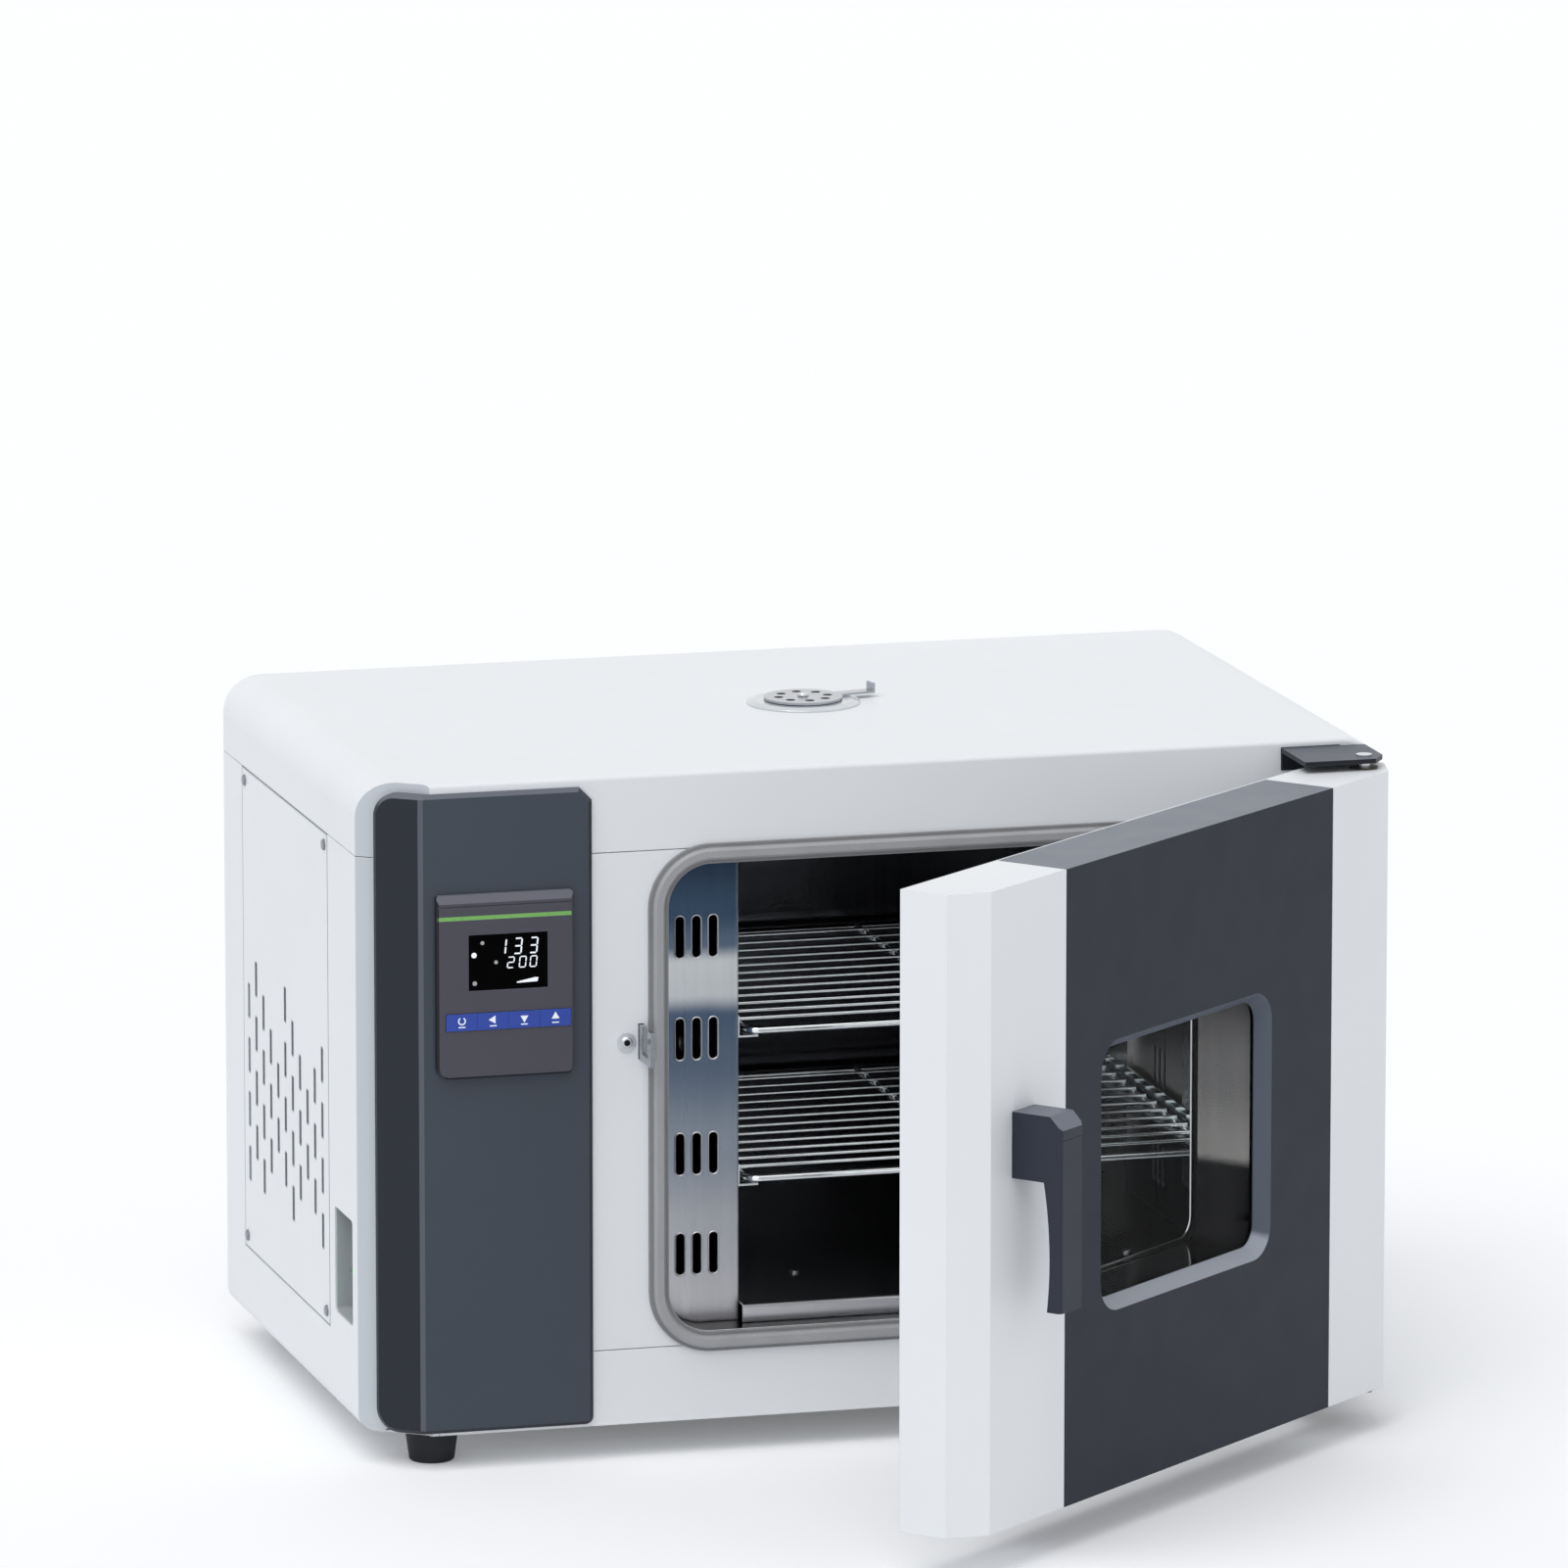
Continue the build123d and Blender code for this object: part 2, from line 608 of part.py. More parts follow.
# Base tray: floor between the side hems, lips over them, front skirt and rear lip
TRAY_X0 = LEFT + BOTTOM_RETURN + SEAM
TRAY_X1 = RIGHT - BOTTOM_RETURN - SEAM
TRAY_FRONT_X0 = SIDE_EDGE + SEAM
TRAY_FRONT_X1 = RIGHT - SHEET - FIT_GAP
TRAY_BACK = BACK - SHEET - SEAM
HEM_INSIDE_RADIUS = BOTTOM_RADIUS - SHEET - FIT_GAP
corner_share = 1 + (SHEET + SEAM) / CORNER_REACH
with BuildPart() as base_tray:
    with BuildSketch(Plane.XY.offset(BASE)):
        Polygon(
            (TRAY_X0, TRAY_BACK),
            (TRAY_X0, FRONT + CORNER_Y * (corner_share - (TRAY_X0 - LEFT) / CORNER_X)),
            (LEFT + CORNER_X * (corner_share - SHEET / CORNER_Y), FRONT + SHEET),
            (TRAY_X1, FRONT + SHEET),
            (TRAY_X1, TRAY_BACK),
            align=None,
        )
    extrude(amount=SHEET)
    with BuildSketch(facing(FRONT)) as skirt:
        with Locations((TRAY_FRONT_X0, BASE + SHEET + FIT_GAP)):
            Rectangle(
                TRAY_FRONT_X1 - TRAY_FRONT_X0,
                SKIRT_SEAM_Z - SEAM - BASE - SHEET - FIT_GAP,
                align=(Align.MIN, Align.MIN),
            )
        fillet(skirt.vertices().group_by(Axis.Y)[0].sort_by(Axis.X)[-1], HEM_INSIDE_RADIUS)
        with Locations((TRAY_FRONT_X0, BASE)):
            Rectangle(TRAY_X1 - TRAY_FRONT_X0, 2 * BOTTOM_RADIUS, align=(Align.MIN, Align.MIN))
    extrude(amount=-SHEET)
    block(TRAY_X0, TRAY_X1, TRAY_BACK - SHEET, TRAY_BACK, BASE, BASE + REAR_LIP_HEIGHT)
    lip_bottom = BASE + SHEET
    lip_y0 = FRONT + CORNER_Y
    block(TRAY_X0 - TRAY_LAP, TRAY_X0 + TRAY_LIP, lip_y0, TRAY_BACK, lip_bottom, lip_bottom + SHEET)
    lip_y0 = FRONT + SHEET + BRACKET_BACKING + FIT_GAP
    block(TRAY_X1 - TRAY_LIP, TRAY_X1 + TRAY_LAP, lip_y0, TRAY_BACK, lip_bottom, lip_bottom + SHEET)
    block(
        TONGUE_X0 - FIT_GAP,
        TONGUE_X1 + FIT_GAP,
        FRONT - SHEET,
        FRONT + SHEET,
        BASE - SHEET,
        LOWER_BRACKET_BOTTOM + BRACKET_LEG + FIT_GAP,
        mode=Mode.SUBTRACT,
    )

foot_spots = [
    (x, y)
    for x in (LEFT + FOOT_INSET_X, RIGHT - FOOT_INSET_X)
    for y in (FRONT + FOOT_INSET_Y, BACK - FOOT_INSET_Y)
]
with BuildPart() as rubber_feet:
    for spot in foot_spots:
        with Locations(spot):
            Cone(
                FOOT_BOTTOM_RADIUS,
                FOOT_TOP_RADIUS,
                FOOT_HEIGHT,
                align=(Align.CENTER, Align.CENTER, Align.MIN),
            )
            Cylinder(
                FOOT_RECESS_RADIUS,
                FOOT_RECESS_DEPTH,
                align=(Align.CENTER, Align.CENTER, Align.MIN),
                mode=Mode.SUBTRACT,
            )
    chamfer(rubber_feet.faces().group_by(Axis.Z)[0].edges().group_by(SortBy.LENGTH)[-1], FOOT_BEVEL)

# Back panel with louvre slots behind the control space and the power inlet's opening
INLET_X = LEFT + INLET_FROM_LEFT
INLET_Z = BASE + INLET_UP
BACK_LOUVRE_X = (LEFT + PARTITION_X) / 2
with BuildPart() as back_panel:
    with BuildSketch(facing(BACK)) as back_outline:
        with Locations((0, BASE + SHEET + FIT_GAP)):
            Rectangle(
                BODY_WIDTH - 2 * SHEET - 2 * FIT_GAP,
                SIDE_TOP - BASE - SHEET - FIT_GAP,
                align=(Align.CENTER, Align.MIN),
            )
        fillet(back_outline.vertices().group_by(Axis.Y)[0], HEM_INSIDE_RADIUS)
    extrude(amount=SHEET)
    with BuildSketch(facing(BACK)):
        with Locations((BACK_LOUVRE_X, BASE + BACK_LOUVRES_UP)):
            with GridLocations(0, BACK_LOUVRE_PITCH, 1, BACK_LOUVRES):
                Rectangle(BACK_LOUVRE_LENGTH, BACK_LOUVRE_WIDTH)
        with Locations((INLET_X, INLET_Z)):
            Rectangle(INLET_WIDTH + 2 * FIT_GAP, INLET_HEIGHT + 2 * FIT_GAP)
    extrude(amount=SHEET, mode=Mode.SUBTRACT)

# Mains inlet: flange outside, shrouded body with three blades inside
with BuildPart() as power_inlet:
    with BuildSketch(facing(BACK)):
        with Locations((INLET_X, INLET_Z)):
            RectangleRounded(INLET_FLANGE_WIDTH, INLET_FLANGE_HEIGHT, INLET_CORNER)
    extrude(amount=-INLET_FLANGE)
    block(
        INLET_X - INLET_WIDTH / 2,
        INLET_X + INLET_WIDTH / 2,
        BACK - INLET_DEPTH,
        BACK,
        INLET_Z - INLET_HEIGHT / 2,
        INLET_Z + INLET_HEIGHT / 2,
    )
    block(
        INLET_X - INLET_WIDTH / 2 + INLET_WALL,
        INLET_X + INLET_WIDTH / 2 - INLET_WALL,
        BACK - INLET_DEPTH + INLET_WALL,
        BACK + INLET_FLANGE,
        INLET_Z - INLET_HEIGHT / 2 + INLET_WALL,
        INLET_Z + INLET_HEIGHT / 2 - INLET_WALL,
        mode=Mode.SUBTRACT,
    )
    blade_spots = [
        (INLET_X - BLADE_SPREAD, INLET_Z - BLADE_STAGGER),
        (INLET_X, INLET_Z + BLADE_STAGGER),
        (INLET_X + BLADE_SPREAD, INLET_Z - BLADE_STAGGER),
    ]
    with BuildSketch(facing(BACK - INLET_DEPTH + INLET_WALL)):
        with Locations(*blade_spots):
            Rectangle(BLADE_WIDTH, BLADE_HEIGHT)
    extrude(amount=-(INLET_DEPTH - INLET_WALL - BLADE_SUNK))

# Front frame: the sheet that rings the chamber's mouth
PANEL_X = LEFT + PANEL_FROM_LEFT + PANEL_WIDTH / 2
PANEL_Z = TOP - PANEL_FROM_TOP - PANEL_HEIGHT / 2
HOUSING_WIDTH = PANEL_WIDTH - 2 * PANEL_FLANGE
HOUSING_HEIGHT = PANEL_HEIGHT - 2 * PANEL_FLANGE
STRIKER_X0 = DOOR_X0 + STRIKER_FROM_DOOR_EDGE
STRIKER_Z0 = HANDLE_Z - STRIKER_BELOW_SPINDLE
STRIKER_X1 = STRIKER_X0 + STRIKER_PLATE
STRIKER_Z1 = STRIKER_Z0 + STRIKER_HEIGHT
STRIKER_MIDDLE = ((STRIKER_X0 + STRIKER_X1) / 2, (STRIKER_Z0 + STRIKER_Z1) / 2)
STRIKER_SCREW_SPOT = (STRIKER_X0 - STRIKER_SCREW_ASIDE, STRIKER_MIDDLE[1])


def chamber_outline(grow, mode=Mode.ADD):
    """The chamber's rounded section, moved outwards by grow."""
    with Locations((CHAMBER_X, CHAMBER_Z)):
        RectangleRounded(
            CHAMBER_WIDTH + 2 * grow,
            CHAMBER_HEIGHT + 2 * grow,
            CHAMBER_CORNER + grow,
            mode=mode,
        )


with BuildPart() as front_frame:
    with BuildSketch(facing(FRONT)):
        with Locations(((TRAY_FRONT_X0 + TRAY_FRONT_X1) / 2, (SKIRT_SEAM_Z + SIDE_TOP) / 2)):
            Rectangle(TRAY_FRONT_X1 - TRAY_FRONT_X0, SIDE_TOP - SKIRT_SEAM_Z)
        chamber_outline(0, mode=Mode.SUBTRACT)
        with Locations((PANEL_X, PANEL_Z)):
            Rectangle(HOUSING_WIDTH + 2 * FIT_GAP, HOUSING_HEIGHT + 2 * FIT_GAP, mode=Mode.SUBTRACT)
        with Locations(STRIKER_MIDDLE):
            Rectangle(STRIKER_PLATE + 2 * FIT_GAP, STRIKER_HEIGHT + 2 * FIT_GAP, mode=Mode.SUBTRACT)
        with Locations(STRIKER_SCREW_SPOT):
            Circle(SCREW_RADIUS + FIT_GAP, mode=Mode.SUBTRACT)
    extrude(amount=-SHEET)

# Chamber liner: a deep box with a flange behind the front frame
VENT_BORE_RADIUS = VENT_NECK_RADIUS - VENT_WALL
SENSOR_X = LEFT + SENSOR_FROM_LEFT
SENSOR_Z = TOP - SENSOR_FROM_TOP
HEATER_Z = CHAMBER_Z0 + HEATER_RISE
HEATER_Y0 = FRONT + HEATER_FIRST_RUN_FROM_FRONT
HEATER_Y1 = HEATER_Y0 + (HEATER_RUNS - 1) * HEATER_PITCH
SHAFT_BORE_RADIUS = FAN_SHAFT_RADIUS + SHAFT_CLEARANCE
with BuildPart() as chamber_liner:
    with BuildSketch(facing(FRONT + SHEET)):
        chamber_outline(LINER_FLANGE)
    extrude(amount=-LINER_SHEET)
    with BuildSketch(facing(FRONT + SHEET)):
        chamber_outline(LINER_SHEET)
    extrude(amount=-(CHAMBER_BACK + LINER_SHEET - FRONT - SHEET))
    with BuildSketch(facing(FRONT + SHEET)):
        chamber_outline(0)
    extrude(amount=-(CHAMBER_BACK - FRONT - SHEET), mode=Mode.SUBTRACT)
    with BuildSketch(Plane.XY.offset(CHAMBER_Z1)):
        with Locations((VENT_X, VENT_Y)):
            Circle(VENT_BORE_RADIUS)
    extrude(amount=LINER_SHEET, mode=Mode.SUBTRACT)
    with BuildSketch(beside(CHAMBER_X0 - LINER_SHEET)):
        with Locations((FAN_Y, FAN_Z)):
            Circle(SHAFT_BORE_RADIUS)
        with Locations((HEATER_Y0, HEATER_Z), (HEATER_Y1, HEATER_Z)):
            Circle(HEATER_RADIUS + FIT_GAP)
    extrude(amount=CHAMBER_CORNER, mode=Mode.SUBTRACT)
    with BuildSketch(facing(CHAMBER_BACK)):
        with Locations((SENSOR_X, SENSOR_Z)):
            Circle(SENSOR_RADIUS + RUNNING_GAP)
    extrude(amount=-LINER_SHEET, mode=Mode.SUBTRACT)

# Insulation round the liner, with the vent, the fan shaft, the heater ends and the sensor through it
INSULATION_X0 = PARTITION_X + SHEET / 2 + FIT_GAP
INSULATION_X1 = RIGHT - SHEET - FIT_GAP
with BuildPart() as chamber_insulation:
    block(
        INSULATION_X0,
        INSULATION_X1,
        FRONT + INSULATION_FROM_FRONT,
        CHAMBER_BACK + LINER_SHEET + INSULATION_BEHIND,
        BASE + 2 * SHEET + FIT_GAP,
        CHAMBER_Z1 + INSULATION_ABOVE,
    )
    lower_edge = chamber_insulation.edges().filter_by(Axis.Y).group_by(Axis.Z)[0].sort_by(Axis.X)[-1]
    fillet(lower_edge, BOTTOM_RADIUS)
    with BuildSketch(facing(FRONT)):
        chamber_outline(LINER_SHEET + FIT_GAP)
    extrude(amount=-(CHAMBER_BACK + LINER_SHEET + FIT_GAP - FRONT), mode=Mode.SUBTRACT)
    with BuildSketch(Plane.XY.offset(CHAMBER_Z1)):
        with Locations((VENT_X, VENT_Y)):
            Circle(VENT_NECK_RADIUS + FIT_GAP)
    extrude(amount=TOP - CHAMBER_Z1, mode=Mode.SUBTRACT)
    with BuildSketch(beside(INSULATION_X0)):
        with Locations((FAN_Y, FAN_Z)):
            Circle(SHAFT_BORE_RADIUS)
        with Locations((HEATER_Y0, HEATER_Z), (HEATER_Y1, HEATER_Z)):
            Circle(HEATER_RADIUS + FIT_GAP)
    extrude(amount=CHAMBER_X0 + CHAMBER_CORNER - INSULATION_X0, mode=Mode.SUBTRACT)
    with BuildSketch(facing(CHAMBER_BACK)):
        with Locations((SENSOR_X, SENSOR_Z)):
            Circle(SENSOR_RADIUS + FIT_GAP)
    extrude(amount=-(LINER_SHEET + INSULATION_BEHIND), mode=Mode.SUBTRACT)

# Partition between the chamber and the control space, with a foot on the tray
with BuildPart() as partition_panel:
    partition_x0 = PARTITION_X - SHEET / 2
    partition_x1 = PARTITION_X + SHEET / 2
    partition_y0 = FRONT + SHEET + FIT_GAP
    partition_y1 = BACK - SHEET - FIT_GAP
    block(partition_x0, partition_x1, partition_y0, partition_y1, BASE + SHEET, TOP - SHEET - FIT_GAP)
    top_edges = partition_panel.edges().filter_by(Axis.X).group_by(Axis.Z)[-1].sort_by(Axis.Y)
    chamfer(top_edges[0], TOP_EDGE_RADIUS)
    rear_lip_y = TRAY_BACK - SHEET - FIT_GAP
    block(
        partition_x0,
        partition_x1,
        rear_lip_y,
        BACK,
        BASE,
        BASE + REAR_LIP_HEIGHT + FIT_GAP,
        mode=Mode.SUBTRACT,
    )
    block(
        partition_x0 - PARTITION_FOOT,
        partition_x0,
        partition_y0,
        rear_lip_y,
        BASE + SHEET,
        BASE + 2 * SHEET,
    )
    with BuildSketch(beside(partition_x0)):
        with Locations((FAN_Y, FAN_Z)):
            Circle(SHAFT_BORE_RADIUS)
        with Locations((HEATER_Y0, HEATER_Z), (HEATER_Y1, HEATER_Z)):
            Circle(HEATER_RADIUS + FIT_GAP)
    extrude(amount=SHEET, mode=Mode.SUBTRACT)

# Door seal: a flat base and a bevelled bulb round the chamber's mouth
GASKET_HEIGHT = DOOR_GAP - FIT_GAP
with BuildPart() as door_gasket:
    with BuildSketch(facing(FRONT)):
        chamber_outline(GASKET_WIDTH)
        chamber_outline(0, mode=Mode.SUBTRACT)
    extrude(amount=GASKET_BASE)
    with BuildSketch(facing(FRONT)):
        chamber_outline(GASKET_WIDTH - GASKET_BULB_INSET)
        chamber_outline(GASKET_BULB_INSET, mode=Mode.SUBTRACT)
    extrude(amount=GASKET_HEIGHT)
    chamfer(door_gasket.faces().sort_by(Axis.Y)[0].edges(), GASKET_BULB_EDGE)

# Duct panels: a slotted front strip and a side wall on each side of the chamber
slot_heights = [BASE + height for height in DUCT_SLOT_GROUPS_UP]
slot_heights += [TOP - drop for drop in DUCT_SLOT_GROUPS_FROM_TOP]
slot_places = [(column * DUCT_SLOT_PITCH, z) for column in (-1, 0, 1) for z in slot_heights]
with BuildPart() as left_duct_panel:
    with BuildSketch(Plane.XY.offset(CHAMBER_Z0)):
        Polygon(
            (CHAMBER_X0, DUCT_Y),
            (LEFT_WALL_X, DUCT_Y),
            (LEFT_WALL_X, CHAMBER_BACK - FIT_GAP),
            (LEFT_WALL_X - DUCT_SHEET, CHAMBER_BACK - FIT_GAP),
            (LEFT_WALL_X - DUCT_SHEET, DUCT_Y + DUCT_SHEET),
            (CHAMBER_X0, DUCT_Y + DUCT_SHEET),
            align=None,
        )
    extrude(amount=CHAMBER_HEIGHT)
    with BuildSketch(facing(FRONT)):
        chamber_outline(-FIT_GAP)
    extrude(amount=-CHAMBER_DEPTH, mode=Mode.INTERSECT)
    with BuildSketch(facing(DUCT_Y)):
        strip_middle = (CHAMBER_X0 + LEFT_WALL_X) / 2 - DUCT_SHEET
        with Locations(*[(strip_middle + x, z) for x, z in slot_places]):
            SlotOverall(DUCT_SLOT_LENGTH, DUCT_SLOT_WIDTH, rotation=90)
    extrude(amount=-DUCT_SHEET, mode=Mode.SUBTRACT)
    with BuildSketch(beside(LEFT_WALL_X)):
        with Locations((FAN_Y, FAN_Z)):
            Circle(INTAKE_HOLE_RADIUS)
            for radius, holes in zip(INTAKE_RING_RADII, INTAKE_RING_HOLES):
                with PolarLocations(radius, holes):
                    Circle(INTAKE_HOLE_RADIUS)
        with Locations((HEATER_Y0, HEATER_Z), (HEATER_Y1, HEATER_Z)):
            Circle(HEATER_RADIUS + FIT_GAP)
    extrude(amount=-DUCT_SHEET, mode=Mode.SUBTRACT)

with BuildPart() as right_duct_panel:
    with BuildSketch(Plane.XY.offset(CHAMBER_Z0)):
        Polygon(
            (CHAMBER_X1, DUCT_Y),
            (RIGHT_WALL_X, DUCT_Y),
            (RIGHT_WALL_X, CHAMBER_BACK - FIT_GAP),
            (RIGHT_WALL_X + DUCT_SHEET, CHAMBER_BACK - FIT_GAP),
            (RIGHT_WALL_X + DUCT_SHEET, DUCT_Y + DUCT_SHEET),
            (CHAMBER_X1, DUCT_Y + DUCT_SHEET),
            align=None,
        )
    extrude(amount=CHAMBER_HEIGHT)
    with BuildSketch(facing(FRONT)):
        chamber_outline(-FIT_GAP)
    extrude(amount=-CHAMBER_DEPTH, mode=Mode.INTERSECT)
    with BuildSketch(beside(RIGHT_WALL_X)):
        with Locations(*[(FAN_Y + y, z) for y, z in slot_places]):
            SlotOverall(DUCT_SLOT_LENGTH, DUCT_SLOT_WIDTH, rotation=90)
    extrude(amount=DUCT_SHEET, mode=Mode.SUBTRACT)

# Raised floor plate on its lips and two bosses, over the heater
FLOOR_X0 = LEFT_WALL_X + FIT_GAP
FLOOR_X1 = RIGHT_WALL_X - FIT_GAP
FLOOR_Y0 = FRONT + FLOOR_FROM_FRONT
FLOOR_Y1 = CHAMBER_BACK - FIT_GAP
FLOOR_FOOT_Z = CHAMBER_Z0 + FIT_GAP
floor_screw_y = FRONT + FLOOR_SCREWS_FROM_FRONT
floor_screw_spots = [
    (LEFT_WALL_X + FLOOR_SCREW_FROM_LEFT_WALL, floor_screw_y),
    (RIGHT_WALL_X - FLOOR_SCREW_FROM_RIGHT_WALL, floor_screw_y),
]
with BuildPart() as chamber_floor_plate:
    block(FLOOR_X0, FLOOR_X1, FLOOR_Y0, FLOOR_Y1, FLOOR_FOOT_Z, FLOOR_Z)
    top_edges = chamber_floor_plate.edges().filter_by(Axis.X).group_by(Axis.Z)[-1]
    fillet(top_edges.sort_by(Axis.Y)[0], 2 * FLOOR_PLATE)
    open_faces = [
        chamber_floor_plate.faces().sort_by(Axis.Z)[0],
        chamber_floor_plate.faces().sort_by(Axis.X)[0],
        chamber_floor_plate.faces().sort_by(Axis.X)[-1],
    ]
    offset(amount=-FLOOR_PLATE, openings=open_faces)
    with BuildSketch(Plane.XY.offset(FLOOR_FOOT_Z)):
        with Locations(*floor_screw_spots):
            Circle(FLOOR_BOSS_RADIUS)
    extrude(amount=FLOOR_Z - FLOOR_FOOT_Z)
    with BuildSketch(Plane.XY.offset(FLOOR_FOOT_Z)):
        with Locations(*floor_screw_spots):
            Circle(SCREW_RADIUS + RUNNING_GAP)
    extrude(amount=FLOOR_Z - FLOOR_FOOT_Z, mode=Mode.SUBTRACT)

with BuildPart() as floor_plate_screws:
    with BuildSketch(Plane.XY.offset(FLOOR_Z)):
        with Locations(*floor_screw_spots):
            Circle(SCREW_HEAD_RADIUS)
    extrude(amount=SCREW_HEAD_HEIGHT)
    chamfer(floor_plate_screws.faces().group_by(Axis.Z)[-1].edges(), SCREW_HEAD_HEIGHT / 2)
    with BuildSketch(Plane.XY.offset(FLOOR_Z)):
        with Locations(*floor_screw_spots):
            Circle(SCREW_RADIUS)
    extrude(amount=-SCREW_LENGTH)

# Heater: one tube folded under the floor, both ends through the left wall
HEATER_END_X = PARTITION_X - SHEET / 2 - HEATER_TERMINAL
BEND = HEATER_PITCH / 2
HEATER_X0 = LEFT_WALL_X + HEATER_MARGIN + BEND
HEATER_X1 = RIGHT_WALL_X - HEATER_MARGIN - BEND
with BuildPart() as heater_element:
    with BuildLine() as heater_run:
        for run in range(HEATER_RUNS):
            run_y = HEATER_Y0 + run * HEATER_PITCH
            first_x = HEATER_END_X if run in (0, HEATER_RUNS - 1) else HEATER_X0
            Line((first_x, run_y, HEATER_Z), (HEATER_X1, run_y, HEATER_Z))
            if run < HEATER_RUNS - 1:
                turn_x = HEATER_X1 if run % 2 == 0 else HEATER_X0
                side = 1 if run % 2 == 0 else -1
                ThreePointArc(
                    (turn_x, run_y, HEATER_Z),
                    (turn_x + side * BEND, run_y + BEND, HEATER_Z),
                    (turn_x, run_y + HEATER_PITCH, HEATER_Z),
                )
    with BuildSketch(Plane((HEATER_END_X, HEATER_Y0, HEATER_Z), z_dir=(1, 0, 0))):
        Circle(HEATER_RADIUS)
    sweep(path=heater_run.wires()[0])

# Shelf pilasters: four notched channels on the chamber's side walls
pilaster_places = [
    FRONT + PILASTER_FROM_FRONT + PILASTER_WIDTH / 2,
    CHAMBER_BACK - PILASTER_BEFORE_WALL - PILASTER_WIDTH / 2,
]
PILASTER_Z0 = CHAMBER_Z0 + PILASTER_ABOVE_FLOOR
PILASTER_Z1 = CHAMBER_Z1 - PILASTER_BELOW_CEILING
FIRST_NOTCH_Z = PILASTER_Z0 + NOTCH_FIRST_RISE
notch_room = PILASTER_Z1 - NOTCH_LAST_GAP - NOTCH_HEIGHT / 2 - FIRST_NOTCH_Z
NOTCH_COUNT = int(notch_room / NOTCH_PITCH) + 1
with BuildPart() as shelf_pilasters:
    for wall, inward in ((LEFT_WALL_X, 1), (RIGHT_WALL_X, -1)):
        face = wall + inward * PILASTER_DEPTH
        back = wall + inward * (PILASTER_DEPTH - PILASTER_SHEET)
        for y in pilaster_places:
            y0 = y - PILASTER_WIDTH / 2
            y1 = y + PILASTER_WIDTH / 2
            block(min(wall, face), max(wall, face), y0, y1, PILASTER_Z0, PILASTER_Z1)
            block(
                min(wall, back),
                max(wall, back),
                y0 + PILASTER_SHEET,
                y1 - PILASTER_SHEET,
                PILASTER_Z0,
                PILASTER_Z1,
                mode=Mode.SUBTRACT,
            )
            for notch in range(NOTCH_COUNT):
                notch_z = FIRST_NOTCH_Z + notch * NOTCH_PITCH
                block(
                    min(wall, face),
                    max(wall, face),
                    y - NOTCH_WIDTH / 2,
                    y + NOTCH_WIDTH / 2,
                    notch_z - NOTCH_HEIGHT / 2,
                    notch_z + NOTCH_HEIGHT / 2,
                    mode=Mode.SUBTRACT,
                )

# Shelf runners hook into the notches, and the wire shelves slide on their ledges
UPPER_SHELF_Z = FIRST_NOTCH_Z + UPPER_NOTCH * NOTCH_PITCH
LOWER_SHELF_Z = FIRST_NOTCH_Z + LOWER_NOTCH * NOTCH_PITCH
RUNNER_Y0 = FRONT + RUNNER_FROM_FRONT
RUNNER_Y1 = CHAMBER_BACK - RUNNER_BEFORE_WALL


def runner_pair(shelf_z):
    """The two angle runners that carry a shelf whose rods are centred at shelf_z."""
    ledge_top = shelf_z - SHELF_ROD_RADIUS - SLIDE_GAP
    ledge_bottom = ledge_top - RUNNER_SHEET
    hook_z = NOTCH_HEIGHT / 2 - FIT_GAP
    hook_y = NOTCH_WIDTH / 2 - FIT_GAP
    with BuildPart() as pair:
        for wall, inward in ((LEFT_WALL_X, 1), (RIGHT_WALL_X, -1)):
            back = wall + inward * PILASTER_DEPTH
            leg = back + inward * RUNNER_SHEET
            ledge = leg + inward * RUNNER_LEDGE
            hook = back - inward * RUNNER_HOOK
            x0, x1 = sorted((back, leg))
            block(x0, x1, RUNNER_Y0, RUNNER_Y1, ledge_bottom, ledge_bottom + RUNNER_LEG)
            x0, x1 = sorted((back, ledge))
            block(x0, x1, RUNNER_Y0, RUNNER_Y1, ledge_bottom, ledge_top)
            x0, x1 = sorted((hook, leg))
            for y in pilaster_places:
                block(x0, x1, y - hook_y, y + hook_y, shelf_z - hook_z, shelf_z + hook_z)
    return pair


def wire_shelf(shelf_z):
    """A shelf of round rod with cross wires on top, its rods centred at shelf_z."""
    rod_gap = PILASTER_DEPTH + RUNNER_SHEET + SHELF_SIDE_GAP + SHELF_ROD_RADIUS
    x0 = LEFT_WALL_X + rod_gap
    x1 = RIGHT_WALL_X - rod_gap
    y0 = FRONT + SHELF_FROM_FRONT + SHELF_ROD_RADIUS
    y1 = CHAMBER_BACK - SHELF_BEFORE_WALL - SHELF_ROD_RADIUS
    middle = (x0 + x1) / 2
    wire_z = shelf_z + SHELF_ROD_RADIUS + SHELF_WIRE_RADIUS - SHELF_WELD
    wire_step = (y1 - y0) / (SHELF_WIRES + 1)
    with BuildPart() as shelf:
        with BuildLine(Plane.XY.offset(shelf_z)) as outline:
            FilletPolyline((x0, y0), (x1, y0), (x1, y1), (x0, y1), radius=SHELF_CORNER, close=True)
        rim = outline.wires()[0]
        with BuildSketch(Plane(rim @ 0, z_dir=rim % 0)):
            Circle(SHELF_ROD_RADIUS)
        sweep(path=rim)
        with Locations(Location((middle, (y0 + y1) / 2, shelf_z), (90, 0, 0))):
            Cylinder(SHELF_ROD_RADIUS, y1 - y0)
        for wire in range(1, SHELF_WIRES + 1):
            with Locations(Location((middle, y0 + wire * wire_step, wire_z), (0, 90, 0))):
                Cylinder(SHELF_WIRE_RADIUS, x1 - x0 + SHELF_ROD_RADIUS)
    return shelf


